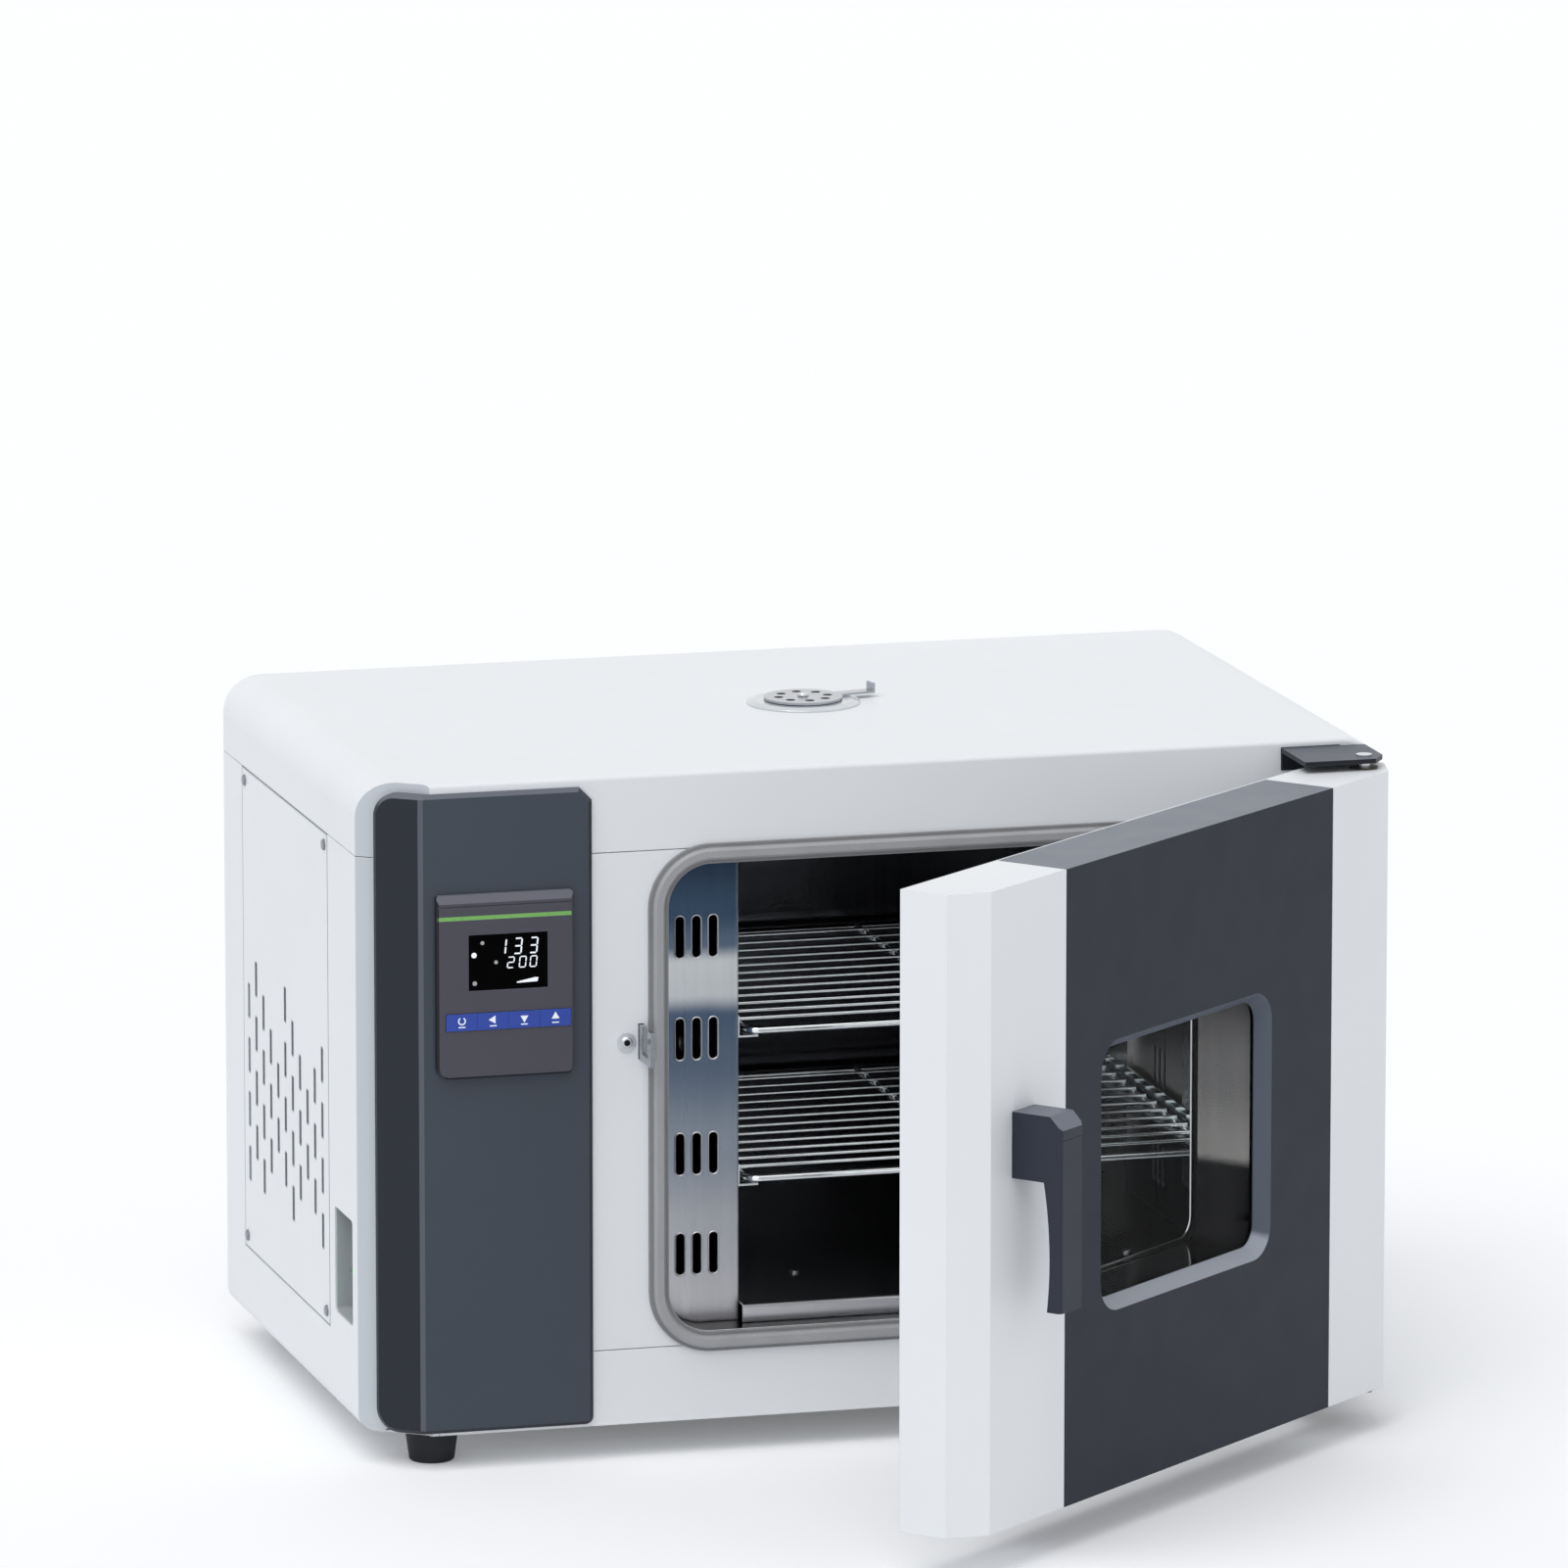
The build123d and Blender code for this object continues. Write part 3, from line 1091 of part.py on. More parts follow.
upper_shelf_runners = runner_pair(UPPER_SHELF_Z)
lower_shelf_runners = runner_pair(LOWER_SHELF_Z)
upper_shelf = wire_shelf(UPPER_SHELF_Z)
lower_shelf = wire_shelf(LOWER_SHELF_Z)

# Fan: a bladed impeller in the left duct, its shaft and the motor in the control space
IMPELLER_X0 = CHAMBER_X0 + IMPELLER_WALL_GAP
BLADES_X0 = IMPELLER_X0 + IMPELLER_PLATE
BLADES_X1 = BLADES_X0 + IMPELLER_WIDTH
MOTOR_FACE_X = PARTITION_X - SHEET / 2 - MOTOR_PLATE
with BuildPart() as fan_impeller:
    with BuildSketch(beside(IMPELLER_X0)):
        with Locations((FAN_Y, FAN_Z)):
            Circle(IMPELLER_RADIUS)
    extrude(amount=IMPELLER_PLATE)
    with BuildSketch(beside(BLADES_X0)):
        with Locations((FAN_Y, FAN_Z)):
            with PolarLocations((IMPELLER_RADIUS + IMPELLER_EYE) / 2, IMPELLER_BLADES):
                Rectangle(IMPELLER_RADIUS - IMPELLER_EYE, IMPELLER_BLADE, rotation=IMPELLER_LEAN)
    extrude(amount=IMPELLER_WIDTH)
    with BuildSketch(beside(BLADES_X1)):
        with Locations((FAN_Y, FAN_Z)):
            Circle(IMPELLER_RADIUS)
            Circle(IMPELLER_EYE + IMPELLER_BLADE, mode=Mode.SUBTRACT)
    extrude(amount=IMPELLER_PLATE)
    with BuildSketch(beside(IMPELLER_X0)):
        with Locations((FAN_Y, FAN_Z)):
            Circle(IMPELLER_HUB_RADIUS)
    extrude(amount=IMPELLER_WIDTH)
    with BuildSketch(beside(MOTOR_FACE_X - SHAFT_IN_MOTOR)):
        with Locations((FAN_Y, FAN_Z)):
            Circle(FAN_SHAFT_RADIUS)
    extrude(amount=BLADES_X1 + IMPELLER_PLATE - MOTOR_FACE_X + SHAFT_IN_MOTOR)

with BuildPart() as fan_motor:
    with BuildSketch(beside(MOTOR_FACE_X)):
        with Locations((FAN_Y, FAN_Z)):
            RectangleRounded(MOTOR_PLATE_SIZE, MOTOR_PLATE_SIZE, MOTOR_ROUND)
    extrude(amount=MOTOR_PLATE)
    with BuildSketch(beside(MOTOR_FACE_X)):
        with Locations((FAN_Y, FAN_Z)):
            Circle(MOTOR_RADIUS)
    extrude(amount=-MOTOR_LENGTH)
    fillet(fan_motor.faces().sort_by(Axis.X)[0].edges(), MOTOR_ROUND)
    with BuildSketch(beside(MOTOR_FACE_X + MOTOR_PLATE)):
        with Locations((FAN_Y, FAN_Z)):
            Circle(FAN_SHAFT_RADIUS + FIT_GAP)
    extrude(amount=-(MOTOR_PLATE + SHAFT_IN_MOTOR + FIT_GAP), mode=Mode.SUBTRACT)

# Temperature probe in the left duct, held by a collar on the back wall
with BuildPart() as temperature_sensor:
    with BuildSketch(facing(CHAMBER_BACK - SENSOR_REACH)):
        with Locations((SENSOR_X, SENSOR_Z)):
            Circle(SENSOR_RADIUS)
    extrude(amount=-(SENSOR_REACH + LINER_SHEET + SENSOR_TAIL))
    fillet(temperature_sensor.faces().sort_by(Axis.Y)[0].edges(), SENSOR_TIP_ROUND)
    with BuildSketch(facing(CHAMBER_BACK - SENSOR_FLANGE)):
        with Locations((SENSOR_X, SENSOR_Z)):
            Circle(SENSOR_FLANGE_RADIUS)
    extrude(amount=-SENSOR_FLANGE)

# Exhaust vent: stack from the liner to the top, flange, turning disc and its pivot screw
VENT_TOP = TOP + VENT_PLATE
DAMPER_Z = VENT_TOP + SLIDE_GAP
DAMPER_TOP = DAMPER_Z + DAMPER_PLATE
with BuildPart() as vent_stack:
    with BuildSketch(Plane.XY.offset(CHAMBER_Z1 + LINER_SHEET)):
        with Locations((VENT_X, VENT_Y)):
            Circle(VENT_NECK_RADIUS)
            Circle(VENT_BORE_RADIUS, mode=Mode.SUBTRACT)
    extrude(amount=TOP - CHAMBER_Z1 - LINER_SHEET)

with BuildPart() as vent_flange:
    with BuildSketch(Plane.XY.offset(TOP)):
        with Locations((VENT_X, VENT_Y)):
            Circle(VENT_RADIUS)
    extrude(amount=VENT_PLATE)
    chamfer(vent_flange.faces().sort_by(Axis.Z)[-1].edges(), VENT_PLATE / 2, 2 * VENT_PLATE)
    with BuildSketch(Plane.XY.offset(TOP)):
        with Locations((VENT_X, VENT_Y)):
            Circle(SCREW_RADIUS + RUNNING_GAP)
            with PolarLocations(VENT_HOLE_CIRCLE, VENT_HOLES):
                Circle(VENT_HOLE_RADIUS)
    extrude(amount=VENT_PLATE, mode=Mode.SUBTRACT)

with BuildPart() as vent_damper:
    with BuildSketch(Plane.XY.offset(DAMPER_Z)):
        with Locations((VENT_X, VENT_Y)):
            Circle(DAMPER_RADIUS)
            with Locations(Location((0, 0), DAMPER_TAB_ANGLE)):
                with Locations((DAMPER_TAB_REACH / 2, 0)):
                    Rectangle(DAMPER_TAB_REACH, DAMPER_TAB_WIDTH)
            Circle(SCREW_RADIUS + FIT_GAP, mode=Mode.SUBTRACT)
            with PolarLocations(VENT_HOLE_CIRCLE, VENT_HOLES):
                Circle(VENT_HOLE_RADIUS, mode=Mode.SUBTRACT)
    extrude(amount=DAMPER_PLATE)
    with BuildSketch(Plane.XY.offset(DAMPER_TOP)):
        with Locations((VENT_X, VENT_Y)):
            with Locations(Location((0, 0), DAMPER_TAB_ANGLE)):
                with Locations((DAMPER_TAB_REACH - DAMPER_PLATE / 2, 0)):
                    Rectangle(DAMPER_PLATE, DAMPER_TAB_WIDTH)
    extrude(amount=DAMPER_TAB_RISE)

with BuildPart() as vent_pivot_screw:
    with BuildSketch(Plane.XY.offset(DAMPER_TOP + SLIDE_GAP)):
        with Locations((VENT_X, VENT_Y)):
            Circle(SCREW_HEAD_RADIUS)
    extrude(amount=SCREW_HEAD_HEIGHT)
    chamfer(vent_pivot_screw.faces().sort_by(Axis.Z)[-1].edges(), SCREW_HEAD_HEIGHT / 2)
    with BuildSketch(Plane.XY.offset(TOP - SCREW_RADIUS)):
        with Locations((VENT_X, VENT_Y)):
            Circle(SCREW_RADIUS)
    extrude(amount=DAMPER_TOP + SLIDE_GAP - TOP + SCREW_RADIUS)

# Control column: a bevelled cladding that wraps the front's left part and, thicker there, the
# cut corner
FASCIA_X0 = LEFT + FASCIA_FROM_LEFT
FASCIA_X1 = CHAMBER_X0 - FASCIA_BEFORE_CHAMBER
FASCIA_Y0 = FRONT + CORNER_Y * (1 - FASCIA_FROM_LEFT / CORNER_X)
FASCIA_Z0 = BASE + FASCIA_UP
SKEW_X = FASCIA_SIDE_THICKNESS * CORNER_Y / CORNER_LENGTH
SKEW_Y = FASCIA_SIDE_THICKNESS * CORNER_X / CORNER_LENGTH
FASCIA_FRONT = FRONT - FASCIA_THICKNESS
FASCIA_BEND_X = LEFT + CORNER_X - SKEW_X + (FASCIA_THICKNESS - SKEW_Y) * CORNER_X / CORNER_Y
with BuildPart() as control_fascia:
    with BuildSketch(Plane.XY.offset(FASCIA_Z0)):
        Polygon(
            (FASCIA_X0, FASCIA_Y0),
            (LEFT + CORNER_X, FRONT),
            (FASCIA_X1, FRONT),
            (FASCIA_X1, FASCIA_FRONT),
            (FASCIA_BEND_X, FASCIA_FRONT),
            (FASCIA_X0 - SKEW_X, FASCIA_Y0 - SKEW_Y),
            align=None,
        )
    extrude(amount=TOP - FASCIA_FROM_TOP - FASCIA_Z0)
    across = Axis((0, 0, 0), (-CORNER_Y, -CORNER_X, 0))
    fillet(control_fascia.edges().filter_by(across).sort_by(Axis.X)[:2], FASCIA_ROUND)
    right_corners = control_fascia.edges().filter_by(Axis.Y).group_by(Axis.X)[-1].sort_by(Axis.Z)
    chamfer(right_corners[-1], FASCIA_CUT)
    right_corners = control_fascia.edges().filter_by(Axis.Y).group_by(Axis.X)[-1].sort_by(Axis.Z)
    fillet(right_corners[0], FASCIA_LOW_ROUND)
    outward = control_fascia.faces().sort_by(across)[-1]
    chamfer(outward.edges().filter_by(Axis.Z).sort_by(Axis.X)[-1], FASCIA_BEND_BEVEL)
    outward = control_fascia.faces().sort_by(across)[-2:] + control_fascia.faces().sort_by(Axis.Y)[:1]
    bends = outward.edges().filter_by(Axis.Z).sort_by(Axis.X)[1:-1]
    chamfer(outward.edges() - bends, FASCIA_BEVEL)
    with BuildSketch(facing(FASCIA_FRONT)):
        with Locations((PANEL_X, PANEL_Z)):
            Rectangle(HOUSING_WIDTH + 2 * FIT_GAP, HOUSING_HEIGHT + 2 * FIT_GAP)
    extrude(amount=-2 * FASCIA_THICKNESS, mode=Mode.SUBTRACT)

# Controller front with openings for the display, the green line and the keys
PANEL_FRONT = FASCIA_FRONT - PANEL_PROUD
PANEL_X0 = PANEL_X - PANEL_WIDTH / 2
PANEL_Z1 = PANEL_Z + PANEL_HEIGHT / 2
DISPLAY_WIDTH = PANEL_WIDTH - DISPLAY_INSET - DISPLAY_FROM_RIGHT
DISPLAY_X = PANEL_X0 + DISPLAY_INSET + DISPLAY_WIDTH / 2
DISPLAY_Z = PANEL_Z1 - DISPLAY_DROP - DISPLAY_HEIGHT / 2
KEYS_WIDTH = PANEL_WIDTH - KEYS_INSET - KEYS_FROM_RIGHT
KEYS_X = PANEL_X0 + KEYS_INSET + KEYS_WIDTH / 2
KEYS_Z = PANEL_Z1 - KEYS_DROP - KEYS_HEIGHT / 2
STRIP_Z = PANEL_Z1 - STRIP_DROP - STRIP_HEIGHT / 2
KEY_LIP_BACK = FASCIA_FRONT - KEY_TRAVEL - 2 * KEY_PLAY
with BuildPart() as controller_bezel:
    with BuildSketch(facing(FASCIA_FRONT)) as bezel_outline:
        with Locations((PANEL_X, PANEL_Z)):
            Rectangle(PANEL_WIDTH, PANEL_HEIGHT)
        fillet(bezel_outline.vertices().group_by(Axis.Y)[-1], PANEL_TOP_ROUND)
    extrude(amount=PANEL_PROUD)
    chamfer(controller_bezel.faces().sort_by(Axis.Y)[0].edges(), PANEL_BEVEL)
    # The brow slopes back along the top, with a fine groove under it
    with BuildSketch(beside(PANEL_X0)):
        Polygon(
            (PANEL_FRONT, PANEL_Z1 - PANEL_BROW_HEIGHT),
            (PANEL_FRONT, PANEL_Z1),
            (PANEL_FRONT + PANEL_BROW_DEPTH, PANEL_Z1),
            align=None,
        )
    extrude(amount=PANEL_WIDTH, mode=Mode.SUBTRACT)
    with BuildSketch(facing(PANEL_FRONT)):
        with Locations((PANEL_X, PANEL_Z1 - GROOVE_DROP - GROOVE_HEIGHT / 2)):
            Rectangle(PANEL_WIDTH, GROOVE_HEIGHT)
    extrude(amount=-GROOVE_DEPTH, mode=Mode.SUBTRACT)
    with BuildSketch(facing(PANEL_FRONT)):
        with Locations((DISPLAY_X, DISPLAY_Z)):
            Rectangle(DISPLAY_WIDTH, DISPLAY_HEIGHT)
    extrude(amount=-(DISPLAY_SUNK + DISPLAY_THICKNESS), mode=Mode.SUBTRACT)
    with BuildSketch(facing(PANEL_FRONT)):
        with Locations((DISPLAY_X, DISPLAY_Z)):
            Rectangle(DISPLAY_WIDTH - 2 * DISPLAY_LEDGE, DISPLAY_HEIGHT - 2 * DISPLAY_LEDGE)
        with Locations((KEYS_X, KEYS_Z)):
            Rectangle(KEYS_WIDTH + 2 * KEY_PLAY, KEYS_HEIGHT + 2 * KEY_PLAY)
    extrude(amount=-PANEL_PROUD, mode=Mode.SUBTRACT)
    with BuildSketch(facing(FASCIA_FRONT)):
        with Locations((KEYS_X, KEYS_Z)):
            Rectangle(KEYS_WIDTH + 2 * KEY_PLAY, KEYS_HEIGHT + 2 * KEY_LIP + 2 * KEY_PLAY)
    extrude(amount=FASCIA_FRONT - KEY_LIP_BACK + KEY_LIP_THICKNESS + KEY_PLAY, mode=Mode.SUBTRACT)
    with BuildSketch(facing(PANEL_FRONT)):
        with Locations((PANEL_X, STRIP_Z)):
            Rectangle(PANEL_WIDTH, STRIP_HEIGHT)
    extrude(amount=-STRIP_DEPTH, mode=Mode.SUBTRACT)

with BuildPart() as accent_strip:
    with BuildSketch(facing(PANEL_FRONT)):
        with Locations((PANEL_X, STRIP_Z)):
            Rectangle(PANEL_WIDTH - 2 * PANEL_BEVEL, STRIP_HEIGHT)
    extrude(amount=-STRIP_DEPTH)

with BuildPart() as display_window:
    with BuildSketch(facing(PANEL_FRONT + DISPLAY_SUNK)):
        with Locations((DISPLAY_X, DISPLAY_Z)):
            Rectangle(DISPLAY_WIDTH, DISPLAY_HEIGHT)
    extrude(amount=-DISPLAY_THICKNESS)

# Four keys side by side, each with lips behind the controller's front
KEY_WIDTH = KEYS_WIDTH / len(KEY_NAMES)
KEY_FRONT = PANEL_FRONT - KEY_PROUD


def key_cap(number):
    """One key, counted from the left."""
    key_x = KEYS_X + (number - (len(KEY_NAMES) - 1) / 2) * KEY_WIDTH
    with BuildPart() as key:
        with BuildSketch(facing(KEY_FRONT)):
            with Locations((key_x, KEYS_Z)):
                Rectangle(KEY_WIDTH - KEY_PLAY, KEYS_HEIGHT)
        extrude(amount=KEY_FRONT - KEY_LIP_BACK)
        with BuildSketch(facing(KEY_LIP_BACK)):
            with Locations((key_x, KEYS_Z)):
                Rectangle(KEY_WIDTH - KEY_PLAY, KEYS_HEIGHT + 2 * KEY_LIP)
        extrude(amount=KEY_LIP_THICKNESS)
    return key


keys = {name: key_cap(number) for number, name in enumerate(KEY_NAMES)}

# Controller housing behind the front, with its board, display block and key switches
BOARD_FRONT = FASCIA_FRONT + BOARD_SETBACK
with BuildPart() as controller_housing:
    with BuildSketch(facing(FASCIA_FRONT)):
        with Locations((PANEL_X, PANEL_Z)):
            Rectangle(HOUSING_WIDTH, HOUSING_HEIGHT)
    extrude(amount=-HOUSING_DEPTH)
    with BuildSketch(facing(FASCIA_FRONT)):
        with Locations((PANEL_X, PANEL_Z)):
            Rectangle(HOUSING_WIDTH - 2 * HOUSING_WALL, HOUSING_HEIGHT - 2 * HOUSING_WALL)
    extrude(amount=-(HOUSING_DEPTH - HOUSING_WALL), mode=Mode.SUBTRACT)

with BuildPart() as control_board:
    board_gap = 2 * HOUSING_WALL + 2 * FIT_GAP
    with BuildSketch(facing(BOARD_FRONT)):
        with Locations((PANEL_X, PANEL_Z)):
            Rectangle(HOUSING_WIDTH - board_gap, HOUSING_HEIGHT - board_gap)
    extrude(amount=-BOARD_THICKNESS)
    with BuildSketch(facing(BOARD_FRONT)):
        with Locations((DISPLAY_X, DISPLAY_Z)):
            Rectangle(
                DISPLAY_WIDTH - 2 * BOARD_DISPLAY_MARGIN,
                DISPLAY_HEIGHT - 2 * BOARD_DISPLAY_MARGIN,
            )
    display_back = PANEL_FRONT + DISPLAY_SUNK + DISPLAY_THICKNESS
    extrude(amount=BOARD_FRONT - display_back - FIT_GAP)
    with BuildSketch(facing(BOARD_FRONT)):
        with Locations((KEYS_X, KEYS_Z)):
            with GridLocations(KEY_WIDTH, 0, len(KEY_NAMES), 1):
                Circle(SWITCH_DOT_RADIUS)
    extrude(amount=BOARD_FRONT - KEY_LIP_BACK - KEY_TRAVEL - KEY_PLAY)

# Switch recess: a cup behind the opening low on the left side
CUP_X0 = LEFT + SHEET
CUP_FLOOR_X = LEFT + RECESS_DEPTH
ROCKER_Y = FRONT + ROCKER_FROM_FRONT
ROCKER_X = CUP_FLOOR_X + ROCKER_PIVOT
rocker_heights = {
    "power_rocker": RECESS_Z - ROCKER_SPACING / 2,
    "lamp_rocker": RECESS_Z + ROCKER_SPACING / 2,
}
rocker_spots = [(ROCKER_Y, height) for height in rocker_heights.values()]
with BuildPart() as switch_recess_cup:
    with BuildSketch(beside(CUP_X0)):
        with Locations((RECESS_Y, RECESS_Z)):
            RectangleRounded(
                RECESS_WIDTH + 2 * RECESS_FLANGE,
                RECESS_HEIGHT + 2 * RECESS_FLANGE,
                RECESS_CORNER + RECESS_FLANGE,
            )
    extrude(amount=RECESS_WALL)
    with BuildSketch(beside(CUP_X0)):
        with Locations((RECESS_Y, RECESS_Z)):
            RectangleRounded(
                RECESS_WIDTH + 2 * RECESS_WALL,
                RECESS_HEIGHT + 2 * RECESS_WALL,
                RECESS_CORNER + RECESS_WALL,
            )
    extrude(amount=CUP_FLOOR_X + RECESS_WALL - CUP_X0)
    with BuildSketch(beside(CUP_X0)):
        with Locations((RECESS_Y, RECESS_Z)):
            RectangleRounded(RECESS_WIDTH, RECESS_HEIGHT, RECESS_CORNER)
    extrude(amount=CUP_FLOOR_X - CUP_X0, mode=Mode.SUBTRACT)
    with BuildSketch(beside(CUP_FLOOR_X)):
        with Locations(*rocker_spots):
            Rectangle(ROCKER_BODY_WIDTH, ROCKER_BODY_HEIGHT)
    extrude(amount=RECESS_WALL, mode=Mode.SUBTRACT)

with BuildPart() as rocker_switch_bodies:
    with BuildSketch(beside(CUP_FLOOR_X)):
        with Locations(*rocker_spots):
            RectangleRounded(ROCKER_FRAME_WIDTH, ROCKER_FRAME_HEIGHT, ROCKER_FRAME / 2)
    extrude(amount=-ROCKER_FRAME)
    with BuildSketch(beside(CUP_FLOOR_X)):
        with Locations(*rocker_spots):
            Rectangle(ROCKER_BODY_WIDTH, ROCKER_BODY_HEIGHT)
    extrude(amount=ROCKER_BODY_DEPTH)
    with BuildSketch(facing(ROCKER_Y - ROCKER_WIDTH / 2 - FIT_GAP)):
        with Locations(*[(ROCKER_X, height) for height in rocker_heights.values()]):
            Circle(ROCKER_RADIUS + FIT_GAP)
    extrude(amount=-(ROCKER_WIDTH + 2 * FIT_GAP), mode=Mode.SUBTRACT)


def rocker(height):
    """A rocker drum with two flat faces that meet at its middle: one lies level, one stands out."""
    reach = 2 * ROCKER_RADIUS
    apex_x = ROCKER_X - ROCKER_APEX
    with BuildPart() as drum:
        with BuildSketch(facing(ROCKER_Y - ROCKER_WIDTH / 2)):
            with Locations((ROCKER_X, height)):
                Circle(ROCKER_RADIUS)
            Polygon(
                (apex_x, height),
                (apex_x, height - reach),
                (apex_x - reach, height - reach),
                (apex_x - reach, height + reach),
                (apex_x - reach * tan(radians(ROCKER_SWING)), height + reach),
                align=None,
                mode=Mode.SUBTRACT,
            )
        extrude(amount=-ROCKER_WIDTH)
    return drum


power_rocker = rocker(rocker_heights["power_rocker"])
lamp_rocker = rocker(rocker_heights["lamp_rocker"])

# Hinge brackets: a plate in front of the casing on a tongue through it, with a plate behind
PIN_END_Z = {"upper": DOOR_Z1 - PIN_DEPTH, "lower": DOOR_Z0 + PIN_DEPTH}


def hinge_bracket(plate_bottom, leg_bottom, backing_bottom, backing_top):
    """A bracket with its plate at plate_bottom and its leg and backing plate at the given heights."""
    plate_y = FRONT - BRACKET_STANDOFF
    right = HINGE_X + BRACKET_RIGHT
    front = HINGE_Y - BRACKET_FRONT
    backing_y = FRONT + SHEET + BRACKET_BACKING
    with BuildPart() as bracket:
        with BuildSketch(Plane.XY.offset(plate_bottom)):
            Polygon(
                (TONGUE_X0, backing_y),
                (TONGUE_X0, front),
                (right - BRACKET_CUT_X, front),
                (right, front + BRACKET_CUT_Y),
                (right, plate_y),
                (TONGUE_X1, plate_y),
                (TONGUE_X1, backing_y),
                align=None,
            )
            with Locations((HINGE_X, HINGE_Y)):
                Circle(PIN_RADIUS + RUNNING_GAP, mode=Mode.SUBTRACT)
        extrude(amount=BRACKET)
        block(TONGUE_X0, TONGUE_X1, plate_y, backing_y, leg_bottom, leg_bottom + BRACKET_LEG)
        block(
            TONGUE_X0 - BRACKET_BACKING_MARGIN,
            TONGUE_X1 + BRACKET_BACKING_MARGIN,
            FRONT + SHEET,
            backing_y,
            backing_bottom,
            backing_top,
        )
    return bracket


upper_hinge_bracket = hinge_bracket(
    UPPER_BRACKET_TOP - BRACKET,
    UPPER_BRACKET_TOP - BRACKET_LEG,
    UPPER_BRACKET_TOP - BRACKET_LEG - BRACKET_BACKING_MARGIN,
    UPPER_BRACKET_TOP,
)
with BuildPart() as lower_hinge_bracket:
    add(
        hinge_bracket(
            LOWER_BRACKET_BOTTOM,
            LOWER_BRACKET_BOTTOM,
            BASE + SHEET,
            LOWER_BRACKET_BOTTOM + BRACKET_LEG + BRACKET_BACKING_MARGIN,
        ).part
    )
    block(
        TRAY_X0,
        TRAY_X1,
        FRONT + SHEET,
        BACK,
        BASE - SHEET,
        BASE + SHEET,
        mode=Mode.SUBTRACT,
    )

with BuildPart() as hinge_pins:
    upper_head = UPPER_BRACKET_TOP
    lower_head = LOWER_BRACKET_BOTTOM
    with BuildSketch(Plane.XY.offset(upper_head)):
        with Locations((HINGE_X, HINGE_Y)):
            Circle(PIN_HEAD_RADIUS)
    extrude(amount=PIN_HEAD)
    with BuildSketch(Plane.XY.offset(PIN_END_Z["upper"])):
        with Locations((HINGE_X, HINGE_Y)):
            Circle(PIN_RADIUS)
    extrude(amount=upper_head - PIN_END_Z["upper"])
    with BuildSketch(Plane.XY.offset(lower_head)):
        with Locations((HINGE_X, HINGE_Y)):
            Circle(PIN_HEAD_RADIUS)
    extrude(amount=-PIN_HEAD)
    with BuildSketch(Plane.XY.offset(lower_head)):
        with Locations((HINGE_X, HINGE_Y)):
            Circle(PIN_RADIUS)
    extrude(amount=PIN_END_Z["lower"] - lower_head)

# Striker: a hooked plate through the front frame that the door's latch finger drops into, on a
# base that its flanged screw holds behind the sheet
STRIKER_BASE_Y = FRONT + SHEET + STRIKER_BASE
with BuildPart() as door_striker:
    block(
        STRIKER_X1 - STRIKER_BASE_WIDTH,
        STRIKER_X1,
        FRONT + SHEET,
        STRIKER_BASE_Y,
        STRIKER_Z0,
        STRIKER_Z1,
    )
    with BuildSketch(beside(STRIKER_X0)):
        Polygon(
            (STRIKER_BASE_Y, STRIKER_Z0),
            (FRONT - STRIKER_REACH, STRIKER_Z0),
            (FRONT - STRIKER_REACH, STRIKER_Z1),
            (FRONT - STRIKER_REACH + STRIKER_TIP, STRIKER_Z1),
            (FRONT - STRIKER_REACH + STRIKER_TIP, STRIKER_Z0 + STRIKER_BAR),
            (FRONT - STRIKER_ROOT, STRIKER_Z0 + STRIKER_BAR),
            (FRONT - STRIKER_ROOT, STRIKER_Z1),
            (STRIKER_BASE_Y, STRIKER_Z1),
            align=None,
        )
    extrude(amount=STRIKER_PLATE)
    with BuildSketch(facing(STRIKER_BASE_Y)):
        with Locations(STRIKER_SCREW_SPOT):
            Circle(SCREW_RADIUS + RUNNING_GAP)
    extrude(amount=STRIKER_BASE, mode=Mode.SUBTRACT)

with BuildPart() as striker_screw:
    with BuildSketch(facing(FRONT)):
        with Locations(STRIKER_SCREW_SPOT):
            Circle(SCREW_HEAD_RADIUS)
    extrude(amount=STRIKER_WASHER + SCREW_HEAD_HEIGHT)
    chamfer(striker_screw.faces().sort_by(Axis.Y)[0].edges(), SCREW_HEAD_HEIGHT / 2)
    with BuildSketch(facing(FRONT)):
        with Locations(STRIKER_SCREW_SPOT):
            Circle(STRIKER_WASHER_RADIUS)
    extrude(amount=STRIKER_WASHER)
    with BuildSketch(facing(FRONT - STRIKER_WASHER - SCREW_HEAD_HEIGHT)):
        with Locations(STRIKER_SCREW_SPOT):
            RegularPolygon(SOCKET_RADIUS, 6)
    extrude(amount=-SOCKET_DEPTH, mode=Mode.SUBTRACT)
    with BuildSketch(facing(FRONT)):
        with Locations(STRIKER_SCREW_SPOT):
            Circle(SCREW_RADIUS)
    extrude(amount=-SCREW_LENGTH)

# Door, drawn closed: a skin with bevelled uprights, open at the back inside a rim
DOOR_PLAN = (
    (DOOR_X0, DOOR_BACK),
    (DOOR_X0, DOOR_FRONT + DOOR_CHAMFER_DEPTH),
    (DOOR_X0 + DOOR_CHAMFER_WIDTH, DOOR_FRONT),
    (DOOR_X1 - DOOR_CHAMFER_WIDTH, DOOR_FRONT),
    (DOOR_X1, DOOR_FRONT + DOOR_CHAMFER_DEPTH),
    (DOOR_X1, DOOR_BACK - DOOR_BACK_BEVEL_Y),
    (DOOR_X1 - DOOR_BACK_BEVEL_X, DOOR_BACK),
)
RIM_X1 = DOOR_X1 - DOOR_BACK_BEVEL_X
BUSH_RADIUS = PIN_RADIUS + RUNNING_GAP + BUSH_WALL
INNER_BACK = DOOR_BACK - SHEET
